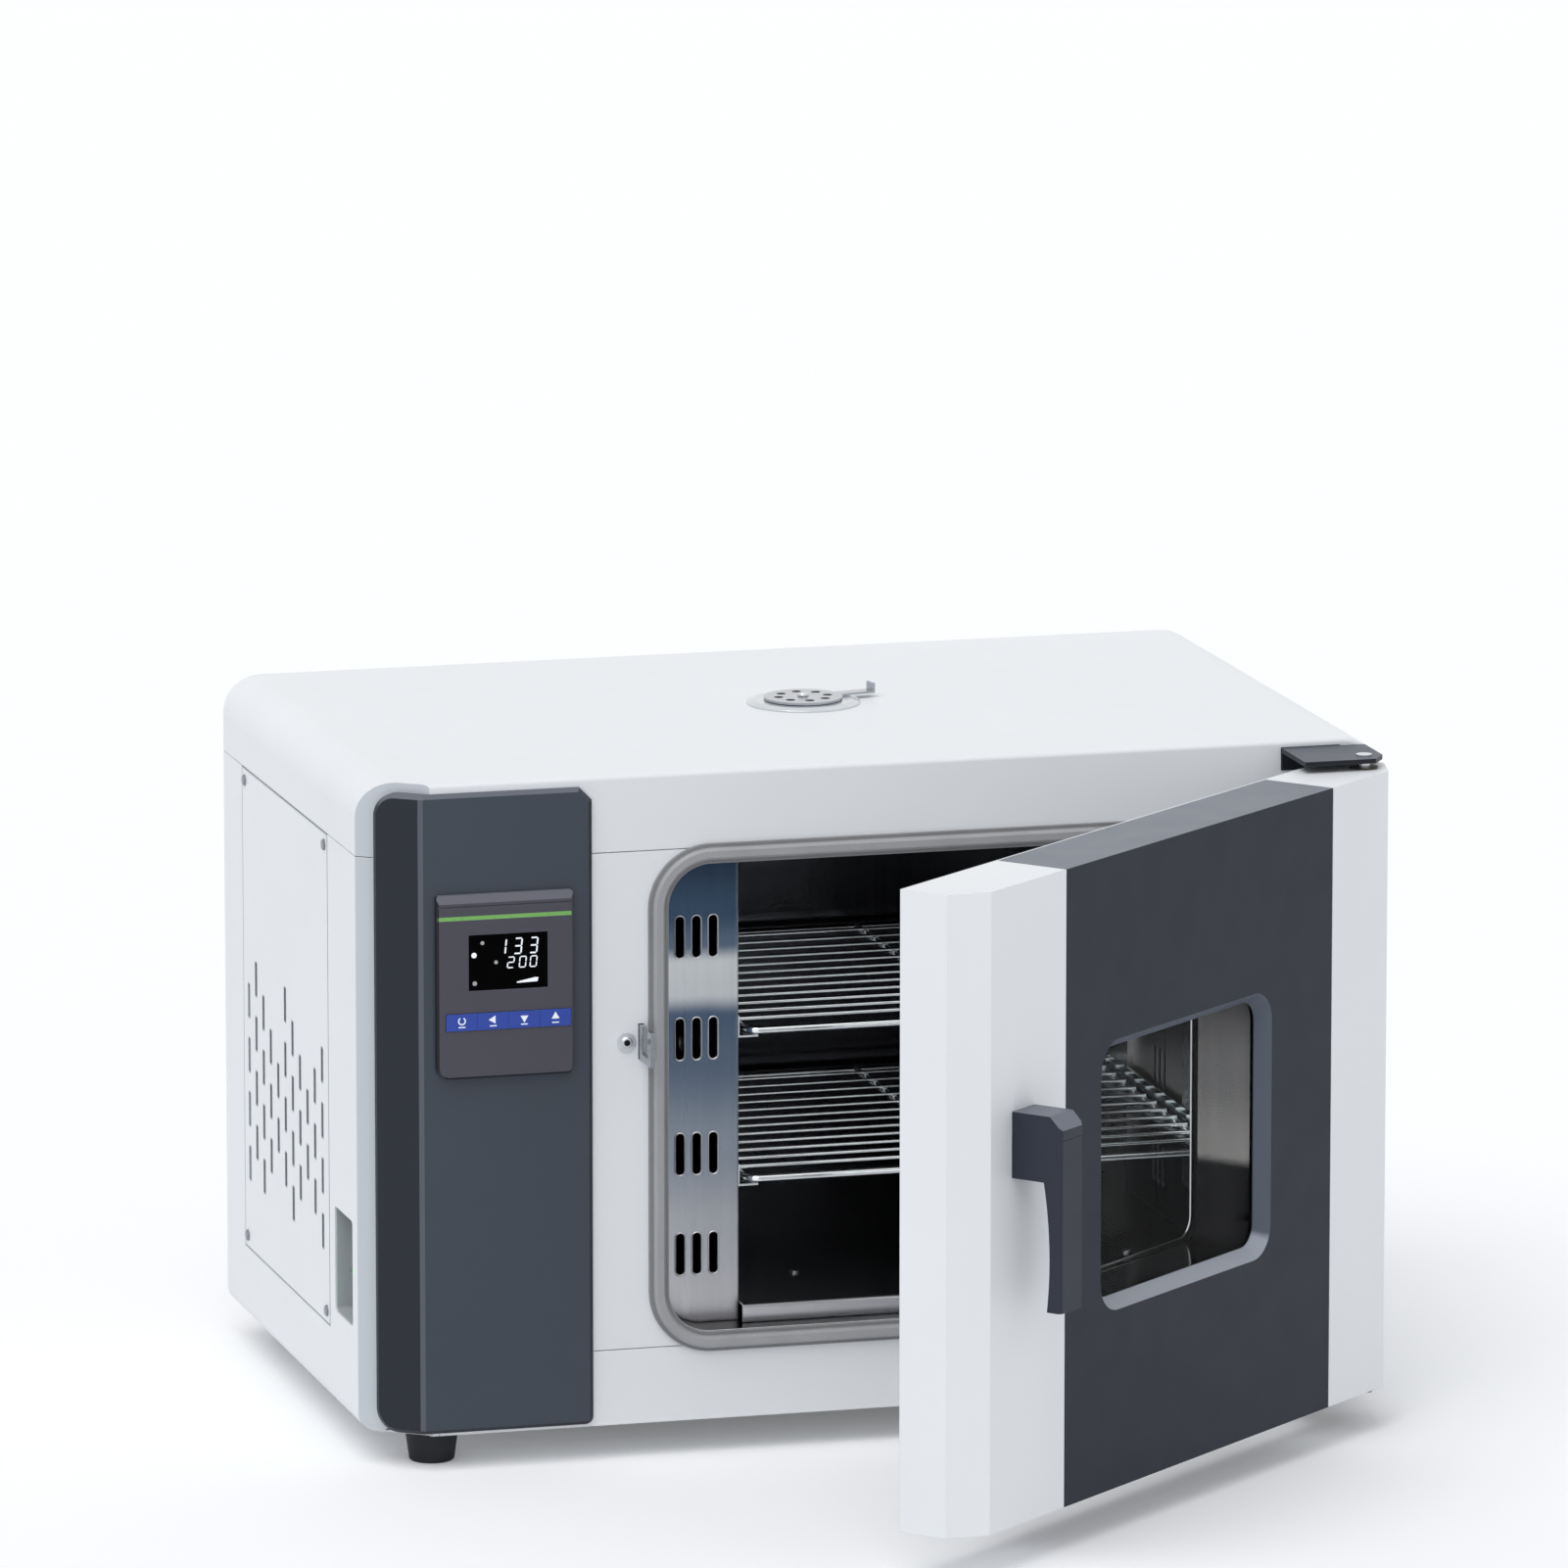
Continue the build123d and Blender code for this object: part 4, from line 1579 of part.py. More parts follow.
INNER_FRONT = INNER_BACK - INNER_SHEET
with BuildPart() as door_shell:
    with BuildSketch(Plane.XY.offset(DOOR_Z0)):
        Polygon(*DOOR_PLAN, align=None)
    extrude(amount=DOOR_HEIGHT)
    offset(amount=-SHEET, openings=door_shell.faces().sort_by(Axis.Y)[-1])
    block(
        CENTRE_X0 - SEAM,
        CENTRE_X1 + SEAM,
        DOOR_FRONT - SHEET,
        INNER_BACK,
        DOOR_Z0 - SHEET,
        DOOR_Z1 + SHEET,
        mode=Mode.SUBTRACT,
    )
    with BuildSketch(facing(DOOR_BACK)):
        with Locations(((DOOR_X0 + RIM_X1) / 2, (DOOR_Z0 + DOOR_Z1) / 2)):
            Rectangle(RIM_X1 - DOOR_X0, DOOR_HEIGHT)
            Rectangle(RIM_X1 - DOOR_X0 - 2 * DOOR_RIM, DOOR_HEIGHT - 2 * DOOR_RIM, mode=Mode.SUBTRACT)
    extrude(amount=SHEET)
    with BuildSketch(facing(DOOR_FRONT)):
        with Locations((HANDLE_X, HANDLE_Z)):
            Circle(SPINDLE_RADIUS + FIT_GAP)
    extrude(amount=-SHEET, mode=Mode.SUBTRACT)
    with BuildSketch(Plane.XY.offset(DOOR_Z0)):
        with Locations((HINGE_X, HINGE_Y)):
            Circle(BUSH_RADIUS)
    extrude(amount=DOOR_HEIGHT, mode=Mode.SUBTRACT)

BUSH_FLANGE = LOWER_BRACKET_GAP - THRUST_GAP
with BuildPart() as door_hinge_bushes:
    for end_z, inward in ((DOOR_Z0, 1), (DOOR_Z1, -1)):
        with BuildSketch(Plane.XY.offset(end_z)):
            with Locations((HINGE_X, HINGE_Y)):
                Circle(BUSH_RADIUS)
        extrude(amount=inward * BUSH_LENGTH)
        with BuildSketch(Plane.XY.offset(end_z)):
            with Locations((HINGE_X, HINGE_Y)):
                Circle(BUSH_FLANGE_RADIUS)
        extrude(amount=-inward * BUSH_FLANGE)
        with BuildSketch(Plane.XY.offset(end_z - inward * BUSH_FLANGE)):
            with Locations((HINGE_X, HINGE_Y)):
                Circle(PIN_RADIUS + RUNNING_GAP)
        extrude(amount=inward * (BUSH_LENGTH + BUSH_FLANGE), mode=Mode.SUBTRACT)

# Dark centre panel: a channel over the door's front, top and bottom, with a funnel round the window
SIGHT_WIDTH = WINDOW_WIDTH - 2 * WINDOW_BEVEL
SIGHT_HEIGHT = WINDOW_HEIGHT - 2 * WINDOW_BEVEL
SIGHT_CORNER = WINDOW_CORNER - WINDOW_BEVEL
GLASS_WIDTH = SIGHT_WIDTH + 2 * GLASS_LAP
GLASS_HEIGHT = SIGHT_HEIGHT + 2 * GLASS_LAP
GLASS_CORNER = SIGHT_CORNER + GLASS_LAP


def window_outline(width, height, corner, mode=Mode.ADD):
    """A rounded rectangle about the middle of the window."""
    with Locations((WINDOW_X, WINDOW_Z)):
        RectangleRounded(width, height, corner, mode=mode)


with BuildPart() as door_centre_panel:
    block(CENTRE_X0, CENTRE_X1, DOOR_FRONT, INNER_BACK, DOOR_Z0, DOOR_Z1)
    block(
        CENTRE_X0,
        CENTRE_X1,
        DOOR_FRONT + CENTRE_PANEL,
        INNER_BACK,
        DOOR_Z0 + CENTRE_PANEL,
        DOOR_Z1 - CENTRE_PANEL,
        mode=Mode.SUBTRACT,
    )
    for grow, mode in ((WINDOW_FRAME, Mode.ADD), (0, Mode.SUBTRACT)):
        with BuildSketch(facing(DOOR_FRONT)):
            window_outline(WINDOW_WIDTH + 2 * grow, WINDOW_HEIGHT + 2 * grow, WINDOW_CORNER + grow)
        with BuildSketch(facing(DOOR_FRONT + WINDOW_DEPTH)):
            window_outline(SIGHT_WIDTH + 2 * grow, SIGHT_HEIGHT + 2 * grow, SIGHT_CORNER + grow)
        loft(mode=mode)

# Two panes with a spacer frame between them
OUTER_GLASS_Y = DOOR_FRONT + WINDOW_DEPTH
PLATEAU_Y = DOOR_BACK + PLATEAU_RISE
INNER_GLASS_Y = PLATEAU_Y - INNER_SHEET - GLASS
SPACER_Y = OUTER_GLASS_Y + GLASS
with BuildPart() as door_outer_glass:
    with BuildSketch(facing(OUTER_GLASS_Y)):
        window_outline(GLASS_WIDTH, GLASS_HEIGHT, GLASS_CORNER)
    extrude(amount=-GLASS)

with BuildPart() as door_inner_glass:
    with BuildSketch(facing(INNER_GLASS_Y)):
        window_outline(GLASS_WIDTH, GLASS_HEIGHT, GLASS_CORNER)
    extrude(amount=-GLASS)

with BuildPart() as window_spacer:
    with BuildSketch(facing(SPACER_Y)):
        window_outline(GLASS_WIDTH, GLASS_HEIGHT, GLASS_CORNER)
        window_outline(
            GLASS_WIDTH - 2 * SPACER_WALL,
            GLASS_HEIGHT - 2 * SPACER_WALL,
            GLASS_CORNER - SPACER_WALL,
            mode=Mode.SUBTRACT,
        )
    extrude(amount=-(INNER_GLASS_Y - SPACER_Y))

# Inner panel: a flat sheet behind the rim, with a raised field that fills the chamber's mouth
INNER_X0 = DOOR_X0 + SHEET + FIT_GAP
INNER_X1 = RIM_X1 - SHEET - FIT_GAP
INNER_Z0 = DOOR_Z0 + CENTRE_PANEL + FIT_GAP
INNER_Z1 = DOOR_Z1 - CENTRE_PANEL - FIT_GAP
with BuildPart() as door_inner_panel:
    block(INNER_X0, INNER_X1, INNER_FRONT, INNER_BACK, INNER_Z0, INNER_Z1)
    with BuildSketch(facing(INNER_FRONT)):
        chamber_outline(-PLATEAU_MARGIN)
    extrude(amount=-(PLATEAU_Y - INNER_FRONT))
    fillet(door_inner_panel.faces().sort_by(Axis.Y)[-1].edges(), PLATEAU_EDGE)
    with BuildSketch(facing(INNER_FRONT)):
        chamber_outline(-PLATEAU_MARGIN - INNER_SHEET)
    extrude(amount=-(PLATEAU_Y - INNER_SHEET - INNER_FRONT), mode=Mode.SUBTRACT)
    with BuildSketch(facing(INNER_FRONT)):
        window_outline(SIGHT_WIDTH, SIGHT_HEIGHT, SIGHT_CORNER)
        with Locations(STRIKER_MIDDLE):
            Rectangle(
                STRIKER_PLATE + 2 * STRIKER_SLOT_MARGIN,
                STRIKER_HEIGHT + 2 * STRIKER_SLOT_MARGIN,
            )
    extrude(amount=-(PLATEAU_Y - INNER_FRONT), mode=Mode.SUBTRACT)

# Door insulation, with a hole for the window, a pocket for the latch and a bore for its spindle
CAM_BACK = DOOR_BACK - CAM_FROM_BACK
CAM_FRONT = CAM_BACK - CAM_THICKNESS
SKIN = CENTRE_PANEL + FIT_GAP
with BuildPart() as door_insulation:
    with BuildSketch(Plane.XY.offset(DOOR_Z0 + SKIN)):
        Polygon(*DOOR_PLAN, align=None)
        offset(amount=-SKIN, kind=Kind.INTERSECTION, mode=Mode.REPLACE)
    extrude(amount=DOOR_HEIGHT - 2 * SKIN)
    block(
        DOOR_X0,
        DOOR_X1,
        INNER_FRONT - FIT_GAP,
        DOOR_BACK,
        DOOR_Z0,
        DOOR_Z1,
        mode=Mode.SUBTRACT,
    )
    block(
        HINGE_X - BUSH_RADIUS - BUSH_CLEARANCE,
        DOOR_X1,
        DOOR_FRONT,
        DOOR_BACK,
        DOOR_Z0,
        DOOR_Z1,
        mode=Mode.SUBTRACT,
    )
    with BuildSketch(facing(DOOR_FRONT)):
        window_outline(
            GLASS_WIDTH + 2 * WINDOW_CLEARANCE,
            GLASS_HEIGHT + 2 * WINDOW_CLEARANCE,
            GLASS_CORNER + WINDOW_CLEARANCE,
        )
    extrude(amount=-DOOR_THICKNESS, mode=Mode.SUBTRACT)
    block(
        HANDLE_X - CAM_REACH - POCKET_MARGIN,
        HANDLE_X + CAM_HUB_RADIUS + POCKET_MARGIN,
        FRONT - STRIKER_REACH - POCKET_MARGIN,
        DOOR_BACK,
        STRIKER_Z0 - POCKET_MARGIN,
        HANDLE_Z + CAM_REACH + POCKET_MARGIN,
        mode=Mode.SUBTRACT,
    )
    with BuildSketch(facing(DOOR_FRONT)):
        with Locations((HANDLE_X, HANDLE_Z)):
            Circle(SPINDLE_RADIUS + SPINDLE_CLEARANCE)
    extrude(amount=-DOOR_THICKNESS, mode=Mode.SUBTRACT)

# Handle: a lever with a bevelled head and a hanging grip, and the spindle with its latch finger
HANDLE_BASE_Y = DOOR_FRONT - HANDLE_BASE_GAP
HANDLE_OUT_Y = DOOR_FRONT - HANDLE_REACH
HEAD_TOP = HANDLE_Z + HANDLE_HEAD / 2
HEAD_BOTTOM = HANDLE_Z - HANDLE_HEAD / 2
GRIP_BOTTOM = HEAD_TOP - HANDLE_LENGTH
with BuildPart() as handle_lever:
    with BuildSketch(beside(HANDLE_X - HANDLE_WIDTH / 2)):
        with BuildLine():
            Polyline(
                (HANDLE_OUT_Y + GRIP_ROOT, HEAD_BOTTOM),
                (HANDLE_BASE_Y, HEAD_BOTTOM),
                (HANDLE_BASE_Y, HEAD_TOP),
                (HANDLE_OUT_Y + HANDLE_CHAMFER, HEAD_TOP),
                (HANDLE_OUT_Y, HEAD_TOP - HANDLE_CHAMFER),
                (HANDLE_OUT_Y, GRIP_BOTTOM),
                (HANDLE_OUT_Y + GRIP_END, GRIP_BOTTOM),
            )
            ThreePointArc(
                (HANDLE_OUT_Y + GRIP_END, GRIP_BOTTOM),
                (HANDLE_OUT_Y + GRIP_WAIST, (GRIP_BOTTOM + HEAD_BOTTOM) / 2),
                (HANDLE_OUT_Y + GRIP_ROOT, HEAD_BOTTOM),
            )
        make_face()
    extrude(amount=HANDLE_WIDTH)
    front_edges = handle_lever.faces().sort_by(Axis.Y)[0].edges().filter_by(Axis.Z)
    chamfer(front_edges, HANDLE_EDGE)
    seam_z = HEAD_TOP - HANDLE_CHAMFER - HANDLE_SEAM_DROP
    block(
        HANDLE_X - HANDLE_WIDTH / 2,
        HANDLE_X + HANDLE_WIDTH / 2,
        HANDLE_OUT_Y,
        HANDLE_OUT_Y + HANDLE_SEAM,
        seam_z - HANDLE_SEAM,
        seam_z,
        mode=Mode.SUBTRACT,
    )
    with BuildSketch(facing(HANDLE_BASE_Y)):
        with Locations((HANDLE_X, HANDLE_Z)):
            Circle(SPINDLE_RADIUS + RUNNING_GAP)
    extrude(amount=SPINDLE_IN_HANDLE, mode=Mode.SUBTRACT)

with BuildPart() as latch_spindle:
    with BuildSketch(facing(CAM_BACK)):
        with Locations((HANDLE_X, HANDLE_Z)):
            Circle(SPINDLE_RADIUS)
    extrude(amount=CAM_BACK - HANDLE_BASE_Y + SPINDLE_IN_HANDLE)
    finger = CAM_REACH - CAM_FINGER / 2
    with BuildSketch(facing(CAM_BACK)):
        with Locations((HANDLE_X, HANDLE_Z)):
            Circle(CAM_HUB_RADIUS)
        with Locations((HANDLE_X, HANDLE_Z + finger / 2)):
            Rectangle(CAM_FINGER, finger)
        with Locations((HANDLE_X, HANDLE_Z + finger)):
            Circle(CAM_FINGER / 2)
    extrude(amount=CAM_THICKNESS)

door_pieces = {
    "door_shell": door_shell,
    "door_centre_panel": door_centre_panel,
    "door_outer_glass": door_outer_glass,
    "door_inner_glass": door_inner_glass,
    "window_spacer": window_spacer,
    "door_inner_panel": door_inner_panel,
    "door_insulation": door_insulation,
    "door_hinge_bushes": door_hinge_bushes,
    "handle_lever": handle_lever,
    "latch_spindle": latch_spindle,
}
cabinet_pieces = {
    "top_cover": top_cover,
    "left_side_panel": left_side_panel,
    "side_access_cover": side_access_cover,
    "access_cover_screws": access_cover_screws,
    "right_side_panel": right_side_panel,
    "back_panel": back_panel,
    "base_tray": base_tray,
    "rubber_feet": rubber_feet,
    "front_frame": front_frame,
    "partition_panel": partition_panel,
    "chamber_liner": chamber_liner,
    "chamber_insulation": chamber_insulation,
    "door_gasket": door_gasket,
    "left_duct_panel": left_duct_panel,
    "right_duct_panel": right_duct_panel,
    "chamber_floor_plate": chamber_floor_plate,
    "floor_plate_screws": floor_plate_screws,
    "shelf_pilasters": shelf_pilasters,
    "upper_shelf_runners": upper_shelf_runners,
    "lower_shelf_runners": lower_shelf_runners,
    "heater_element": heater_element,
    "fan_motor": fan_motor,
    "temperature_sensor": temperature_sensor,
    "control_fascia": control_fascia,
    "controller_bezel": controller_bezel,
    "display_window": display_window,
    "accent_strip": accent_strip,
    "controller_housing": controller_housing,
    "control_board": control_board,
    "switch_recess_cup": switch_recess_cup,
    "rocker_switch_bodies": rocker_switch_bodies,
    "vent_flange": vent_flange,
    "vent_stack": vent_stack,
    "vent_pivot_screw": vent_pivot_screw,
    "upper_hinge_bracket": upper_hinge_bracket,
    "lower_hinge_bracket": lower_hinge_bracket,
    "hinge_pins": hinge_pins,
    "door_striker": door_striker,
    "striker_screw": striker_screw,
    "power_inlet": power_inlet,
}
moving_pieces = {
    "upper_shelf": upper_shelf,
    "lower_shelf": lower_shelf,
    "fan_impeller": fan_impeller,
    "vent_damper": vent_damper,
    "power_rocker": power_rocker,
    "lamp_rocker": lamp_rocker,
    **keys,
}

# The door and its handle swing out to the angle at which the oven is shown
for piece in door_pieces.values():
    piece.part = piece.part.rotate(HINGE_AXIS, DOOR_OPEN)

os.makedirs("parts", exist_ok=True)
for name, piece in {**cabinet_pieces, **moving_pieces, **door_pieces}.items():
    piece.part.label = name
    export_step(piece.part, f"parts/{name}.step")
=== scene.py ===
"""The looks of a convection drying oven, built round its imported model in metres, in the model's own frame."""

import math

import bpy
import bmesh
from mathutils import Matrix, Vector


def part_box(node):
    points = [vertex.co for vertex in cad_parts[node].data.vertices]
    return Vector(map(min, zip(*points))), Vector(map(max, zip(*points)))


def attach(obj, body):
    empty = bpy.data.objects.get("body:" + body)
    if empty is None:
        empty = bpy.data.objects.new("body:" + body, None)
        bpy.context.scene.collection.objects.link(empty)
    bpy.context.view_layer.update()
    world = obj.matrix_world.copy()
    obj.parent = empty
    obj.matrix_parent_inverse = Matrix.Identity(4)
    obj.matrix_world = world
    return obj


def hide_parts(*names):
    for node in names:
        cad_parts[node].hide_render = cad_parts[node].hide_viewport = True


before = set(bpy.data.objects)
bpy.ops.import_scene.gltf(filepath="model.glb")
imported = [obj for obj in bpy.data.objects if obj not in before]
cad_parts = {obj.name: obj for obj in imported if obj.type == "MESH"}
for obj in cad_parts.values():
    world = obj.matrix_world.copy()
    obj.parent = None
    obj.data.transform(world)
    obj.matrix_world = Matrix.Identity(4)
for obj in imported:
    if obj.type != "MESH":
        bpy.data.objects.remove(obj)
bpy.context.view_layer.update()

MM = 0.001
WHITE = (1.0, 1.0, 1.0, 1.0)


def srgb(red, green, blue):
    """The linear colour of an 8-bit screen colour."""
    linear = []
    for value in (red, green, blue):
        share = value / 255
        linear.append(share / 12.92 if share <= 0.04045 else ((share + 0.055) / 1.055) ** 2.4)
    return (*linear, 1.0)


def add_object(name, data):
    """A new object in the scene."""
    item = bpy.data.objects.new(name, data)
    bpy.context.scene.collection.objects.link(item)
    return item


def join_rings(shape, rings):
    """Faces between each ring of vertices and the next."""
    for ring, following in zip(rings, rings[1:]):
        for index in range(len(ring)):
            after = (index + 1) % len(ring)
            shape.faces.new((ring[index], ring[after], following[after], following[index]))


def close_shape(shape, mesh):
    """Turns the faces outward and writes the shape into the mesh."""
    bmesh.ops.recalc_face_normals(shape, faces=shape.faces)
    shape.to_mesh(mesh)
    shape.free()


# Camera at the photograph's viewing angle.
VIEW_AZIMUTH = math.radians(-15.331)
VIEW_ELEVATION = math.radians(10.973)
VIEW_DISTANCE = 8.195
VIEW_TARGET = Vector((-0.0245, 0.1145, 0.3949))
LENS = 300.2
SENSOR = 36.0


def make_camera():
    """The camera stands back from the target along the viewing angle."""
    data = bpy.data.cameras.new("photo_camera")
    camera = add_object("photo_camera", data)
    back = Vector((
        math.sin(VIEW_AZIMUTH) * math.cos(VIEW_ELEVATION),
        -math.cos(VIEW_AZIMUTH) * math.cos(VIEW_ELEVATION),
        math.sin(VIEW_ELEVATION),
    ))
    camera.location = VIEW_TARGET + back * VIEW_DISTANCE
    camera.rotation_mode = "QUATERNION"
    camera.rotation_quaternion = (-back).to_track_quat("-Z", "Y")
    data.lens = LENS
    data.sensor_width = SENSOR
    data.clip_end = 100.0
    bpy.context.scene.camera = camera


# Studio: soft lamps, a pale floor and a white background.
AMBIENT = 0.55
AMBIENT_COLOUR = srgb(252, 253, 255)
# Each lamp's name, the direction towards it, its strength and its spread in degrees.
SUNS = (
    ("key_lamp", (-0.36, -0.34, 0.87), 1.32, 45.0),
    ("fill_lamp", (0.35, -0.80, 0.45), 0.16, 70.0),
)
FLOOR_HALF = 30.0
FLOOR_COLOUR = srgb(246, 247, 249)
FLOOR_LIFT = 0.13


def seen_directly(tree):
    """A socket that is 1 where a camera, glossy or transmitted ray arrives."""
    path = tree.nodes.new("ShaderNodeLightPath")
    total = path.outputs["Is Camera Ray"]
    for name in ("Is Glossy Ray", "Is Transmission Ray"):
        most = tree.nodes.new("ShaderNodeMath")
        most.operation = "MAXIMUM"
        tree.links.new(total, most.inputs[0])
        tree.links.new(path.outputs[name], most.inputs[1])
        total = most.outputs[0]
    return total


def make_world():
    """Plain ambient light, behind which the background shows white."""
    world = bpy.data.worlds.new("studio")
    world.use_nodes = True
    bpy.context.scene.world = world
    tree = world.node_tree
    ambient = tree.nodes["Background"]
    ambient.inputs["Color"].default_value = AMBIENT_COLOUR
    ambient.inputs["Strength"].default_value = AMBIENT
    backdrop = tree.nodes.new("ShaderNodeBackground")
    backdrop.inputs["Color"].default_value = WHITE
    backdrop.inputs["Strength"].default_value = 1.0
    mix = tree.nodes.new("ShaderNodeMixShader")
    tree.links.new(seen_directly(tree), mix.inputs["Fac"])
    tree.links.new(ambient.outputs[0], mix.inputs[1])
    tree.links.new(backdrop.outputs[0], mix.inputs[2])
    tree.links.new(mix.outputs[0], tree.nodes["World Output"].inputs["Surface"])


def make_lamps():
    """Wide suns light the object evenly from above, left and front."""
    for name, towards, strength, spread in SUNS:
        data = bpy.data.lights.new(name, "SUN")
        data.energy = strength
        data.angle = math.radians(spread)
        lamp = add_object(name, data)
        lamp.rotation_mode = "QUATERNION"
        lamp.rotation_quaternion = Vector(towards).to_track_quat("Z", "Y")


def make_floor():
    """A pale floor that keeps the object's shadow."""
    mesh = bpy.data.meshes.new("floor")
    corners = [(-1, -1), (1, -1), (1, 1), (-1, 1)]
    mesh.from_pydata([(x * FLOOR_HALF, y * FLOOR_HALF, 0.0) for x, y in corners], [], [(0, 1, 2, 3)])
    floor = add_object("floor", mesh)
    material = bpy.data.materials.new("floor_paper")
    material.use_nodes = True
    tree = material.node_tree
    shader = tree.nodes["Principled BSDF"]
    shader.inputs["Base Color"].default_value = FLOOR_COLOUR
    shader.inputs["Roughness"].default_value = 0.9
    shader.inputs["Specular IOR Level"].default_value = 0.1
    shader.inputs["Emission Color"].default_value = WHITE
    lift = tree.nodes.new("ShaderNodeMath")
    lift.operation = "MULTIPLY"
    lift.inputs[1].default_value = FLOOR_LIFT
    tree.links.new(seen_directly(tree), lift.inputs[0])
    tree.links.new(lift.outputs[0], shader.inputs["Emission Strength"])
    mesh.materials.append(material)


class Finish:
    """A procedural material: one Principled shader, with textures in the object's own coordinates."""

    def __init__(self, name, colour, roughness, metallic=0.0, specular=0.5):
        self.material = bpy.data.materials.new(name)
        self.material.use_nodes = True
        self.tree = self.material.node_tree
        self.shader = self.tree.nodes["Principled BSDF"]
        coordinates = self.tree.nodes.new("ShaderNodeTexCoord")
        self.place = coordinates.outputs["Object"]
        self.facing = coordinates.outputs["Normal"]
        self.colour = colour
        self.roughness = roughness
        self.normal = None
        self.shader.inputs["Base Color"].default_value = colour
        self.shader.inputs["Roughness"].default_value = roughness
        self.shader.inputs["Metallic"].default_value = metallic
        self.shader.inputs["Specular IOR Level"].default_value = specular

    def set(self, socket, value):
        """A value that is the same all over the surface."""
        self.shader.inputs[socket].default_value = value
        return self

    def link(self, source, target):
        self.tree.links.new(source, target)

    def math(self, operation, first, second=None):
        """One Math node whose operands are sockets or numbers."""
        node = self.tree.nodes.new("ShaderNodeMath")
        node.operation = operation
        for socket, operand in zip(node.inputs, (first, second)):
            if operand is None:
                continue
            if isinstance(operand, (int, float)):
                socket.default_value = operand
            else:
                self.link(operand, socket)
        return node.outputs[0]

    def axis(self, name):
        """One coordinate of the place on the surface, in metres."""
        node = self.tree.nodes.new("ShaderNodeSeparateXYZ")
        self.link(self.place, node.inputs[0])
        return node.outputs[name]

    def noise(self, scale, stretch=(1.0, 1.0, 1.0), detail=3.0):
        """Noise from 0 to 1 with cells of about 1/scale metres, longer along an axis with a small stretch."""
        mapping = self.tree.nodes.new("ShaderNodeMapping")
        mapping.inputs["Scale"].default_value = stretch
        self.link(self.place, mapping.inputs["Vector"])
        node = self.tree.nodes.new("ShaderNodeTexNoise")
        node.inputs["Scale"].default_value = scale
        node.inputs["Detail"].default_value = detail
        self.link(mapping.outputs["Vector"], node.inputs["Vector"])
        return node.outputs["Fac"]

    def spread(self, factor, low, high, start=0.3, end=0.7):
        """The factor's range from start to end, spread between low and high."""
        node = self.tree.nodes.new("ShaderNodeMapRange")
        for name, value in (("From Min", start), ("From Max", end), ("To Min", low), ("To Max", high)):
            node.inputs[name].default_value = value
        self.link(factor, node.inputs["Value"])
        return node.outputs["Result"]

    def blend(self, factor, first, second):
        """A colour between two colours or sockets."""
        node = self.tree.nodes.new("ShaderNodeMix")
        node.data_type = "RGBA"
        self.link(factor, node.inputs["Factor"])
        for socket, colour in ((node.inputs[6], first), (node.inputs[7], second)):
            if isinstance(colour, tuple):
                socket.default_value = colour
            else:
                self.link(colour, socket)
        return node.outputs[2]

    def ramp(self, factor, stops):
        """A colour ramp with smooth steps through (position, colour) stops."""
        node = self.tree.nodes.new("ShaderNodeValToRGB")
        node.color_ramp.interpolation = "EASE"
        elements = node.color_ramp.elements
        for index, (position, colour) in enumerate(stops):
            element = elements[index] if index < 2 else elements.new(position)
            element.position = position
            element.color = colour
        self.link(factor, node.inputs["Fac"])
        return node.outputs["Color"]

    def round_edges(self, radius, edge_highlight_and_shade=None, samples=4, start=0.80, end=0.99):
        """Edges catch the light as if rounded by that radius; the colour given after the radius is painted on
        the edges, lighter as a painted highlight, darker as a painted shade.
        """
        bevel = self.tree.nodes.new("ShaderNodeBevel")
        bevel.samples = samples
        bevel.inputs["Radius"].default_value = radius
        self.normal = bevel.outputs["Normal"]
        if edge_highlight_and_shade is not None:
            face = self.tree.nodes.new("ShaderNodeNewGeometry").outputs["Normal"]
            dot = self.tree.nodes.new("ShaderNodeVectorMath")
            dot.operation = "DOT_PRODUCT"
            self.link(self.normal, dot.inputs[0])
            self.link(face, dot.inputs[1])
            edge = self.spread(dot.outputs["Value"], 1.0, 0.0, start, end)
            # Blends the edges to the given colour, which callers make a painted highlight when lighter and a
            # painted shade when darker.
            self.paint(self.blend(edge, self.colour, edge_highlight_and_shade))
        return self

    def paint(self, colour):
        """Sets the colour from a socket."""
        self.colour = colour
        self.link(colour, self.shader.inputs["Base Color"])
        return self

    def tone(self, direction, start, end, colour):
        """Another colour on faces that look that way, coming in from start to end of their share of it: a
        painted highlight when lighter, a painted shade when darker, by the way a face looks.
        """
        dot = self.tree.nodes.new("ShaderNodeVectorMath")
        dot.operation = "DOT_PRODUCT"
        self.link(self.facing, dot.inputs[0])
        dot.inputs[1].default_value = direction
        share = self.spread(dot.outputs["Value"], 0.0, 1.0, start, end)
        return self.paint(self.blend(share, self.colour, colour))

    def levels(self, stops, waver=0.0):
        """Colours that change with height, through (height, colour) stops, whose edges may waver; the callers
        paint reflections and shade in bands with it.
        """
        low = stops[0][0]
        high = stops[-1][0]
        height = self.axis("Z")
        if waver:
            wave = self.math("MULTIPLY_ADD", self.noise(9.0, (1.0, 1.0, 0.4)), waver)
            wave.node.inputs[2].default_value = -waver / 2
            height = self.math("ADD", height, wave)
        share = self.spread(height, 0.0, 1.0, low, high)
        return self.paint(self.ramp(share, [((level - low) / (high - low), shade) for level, shade in stops]))

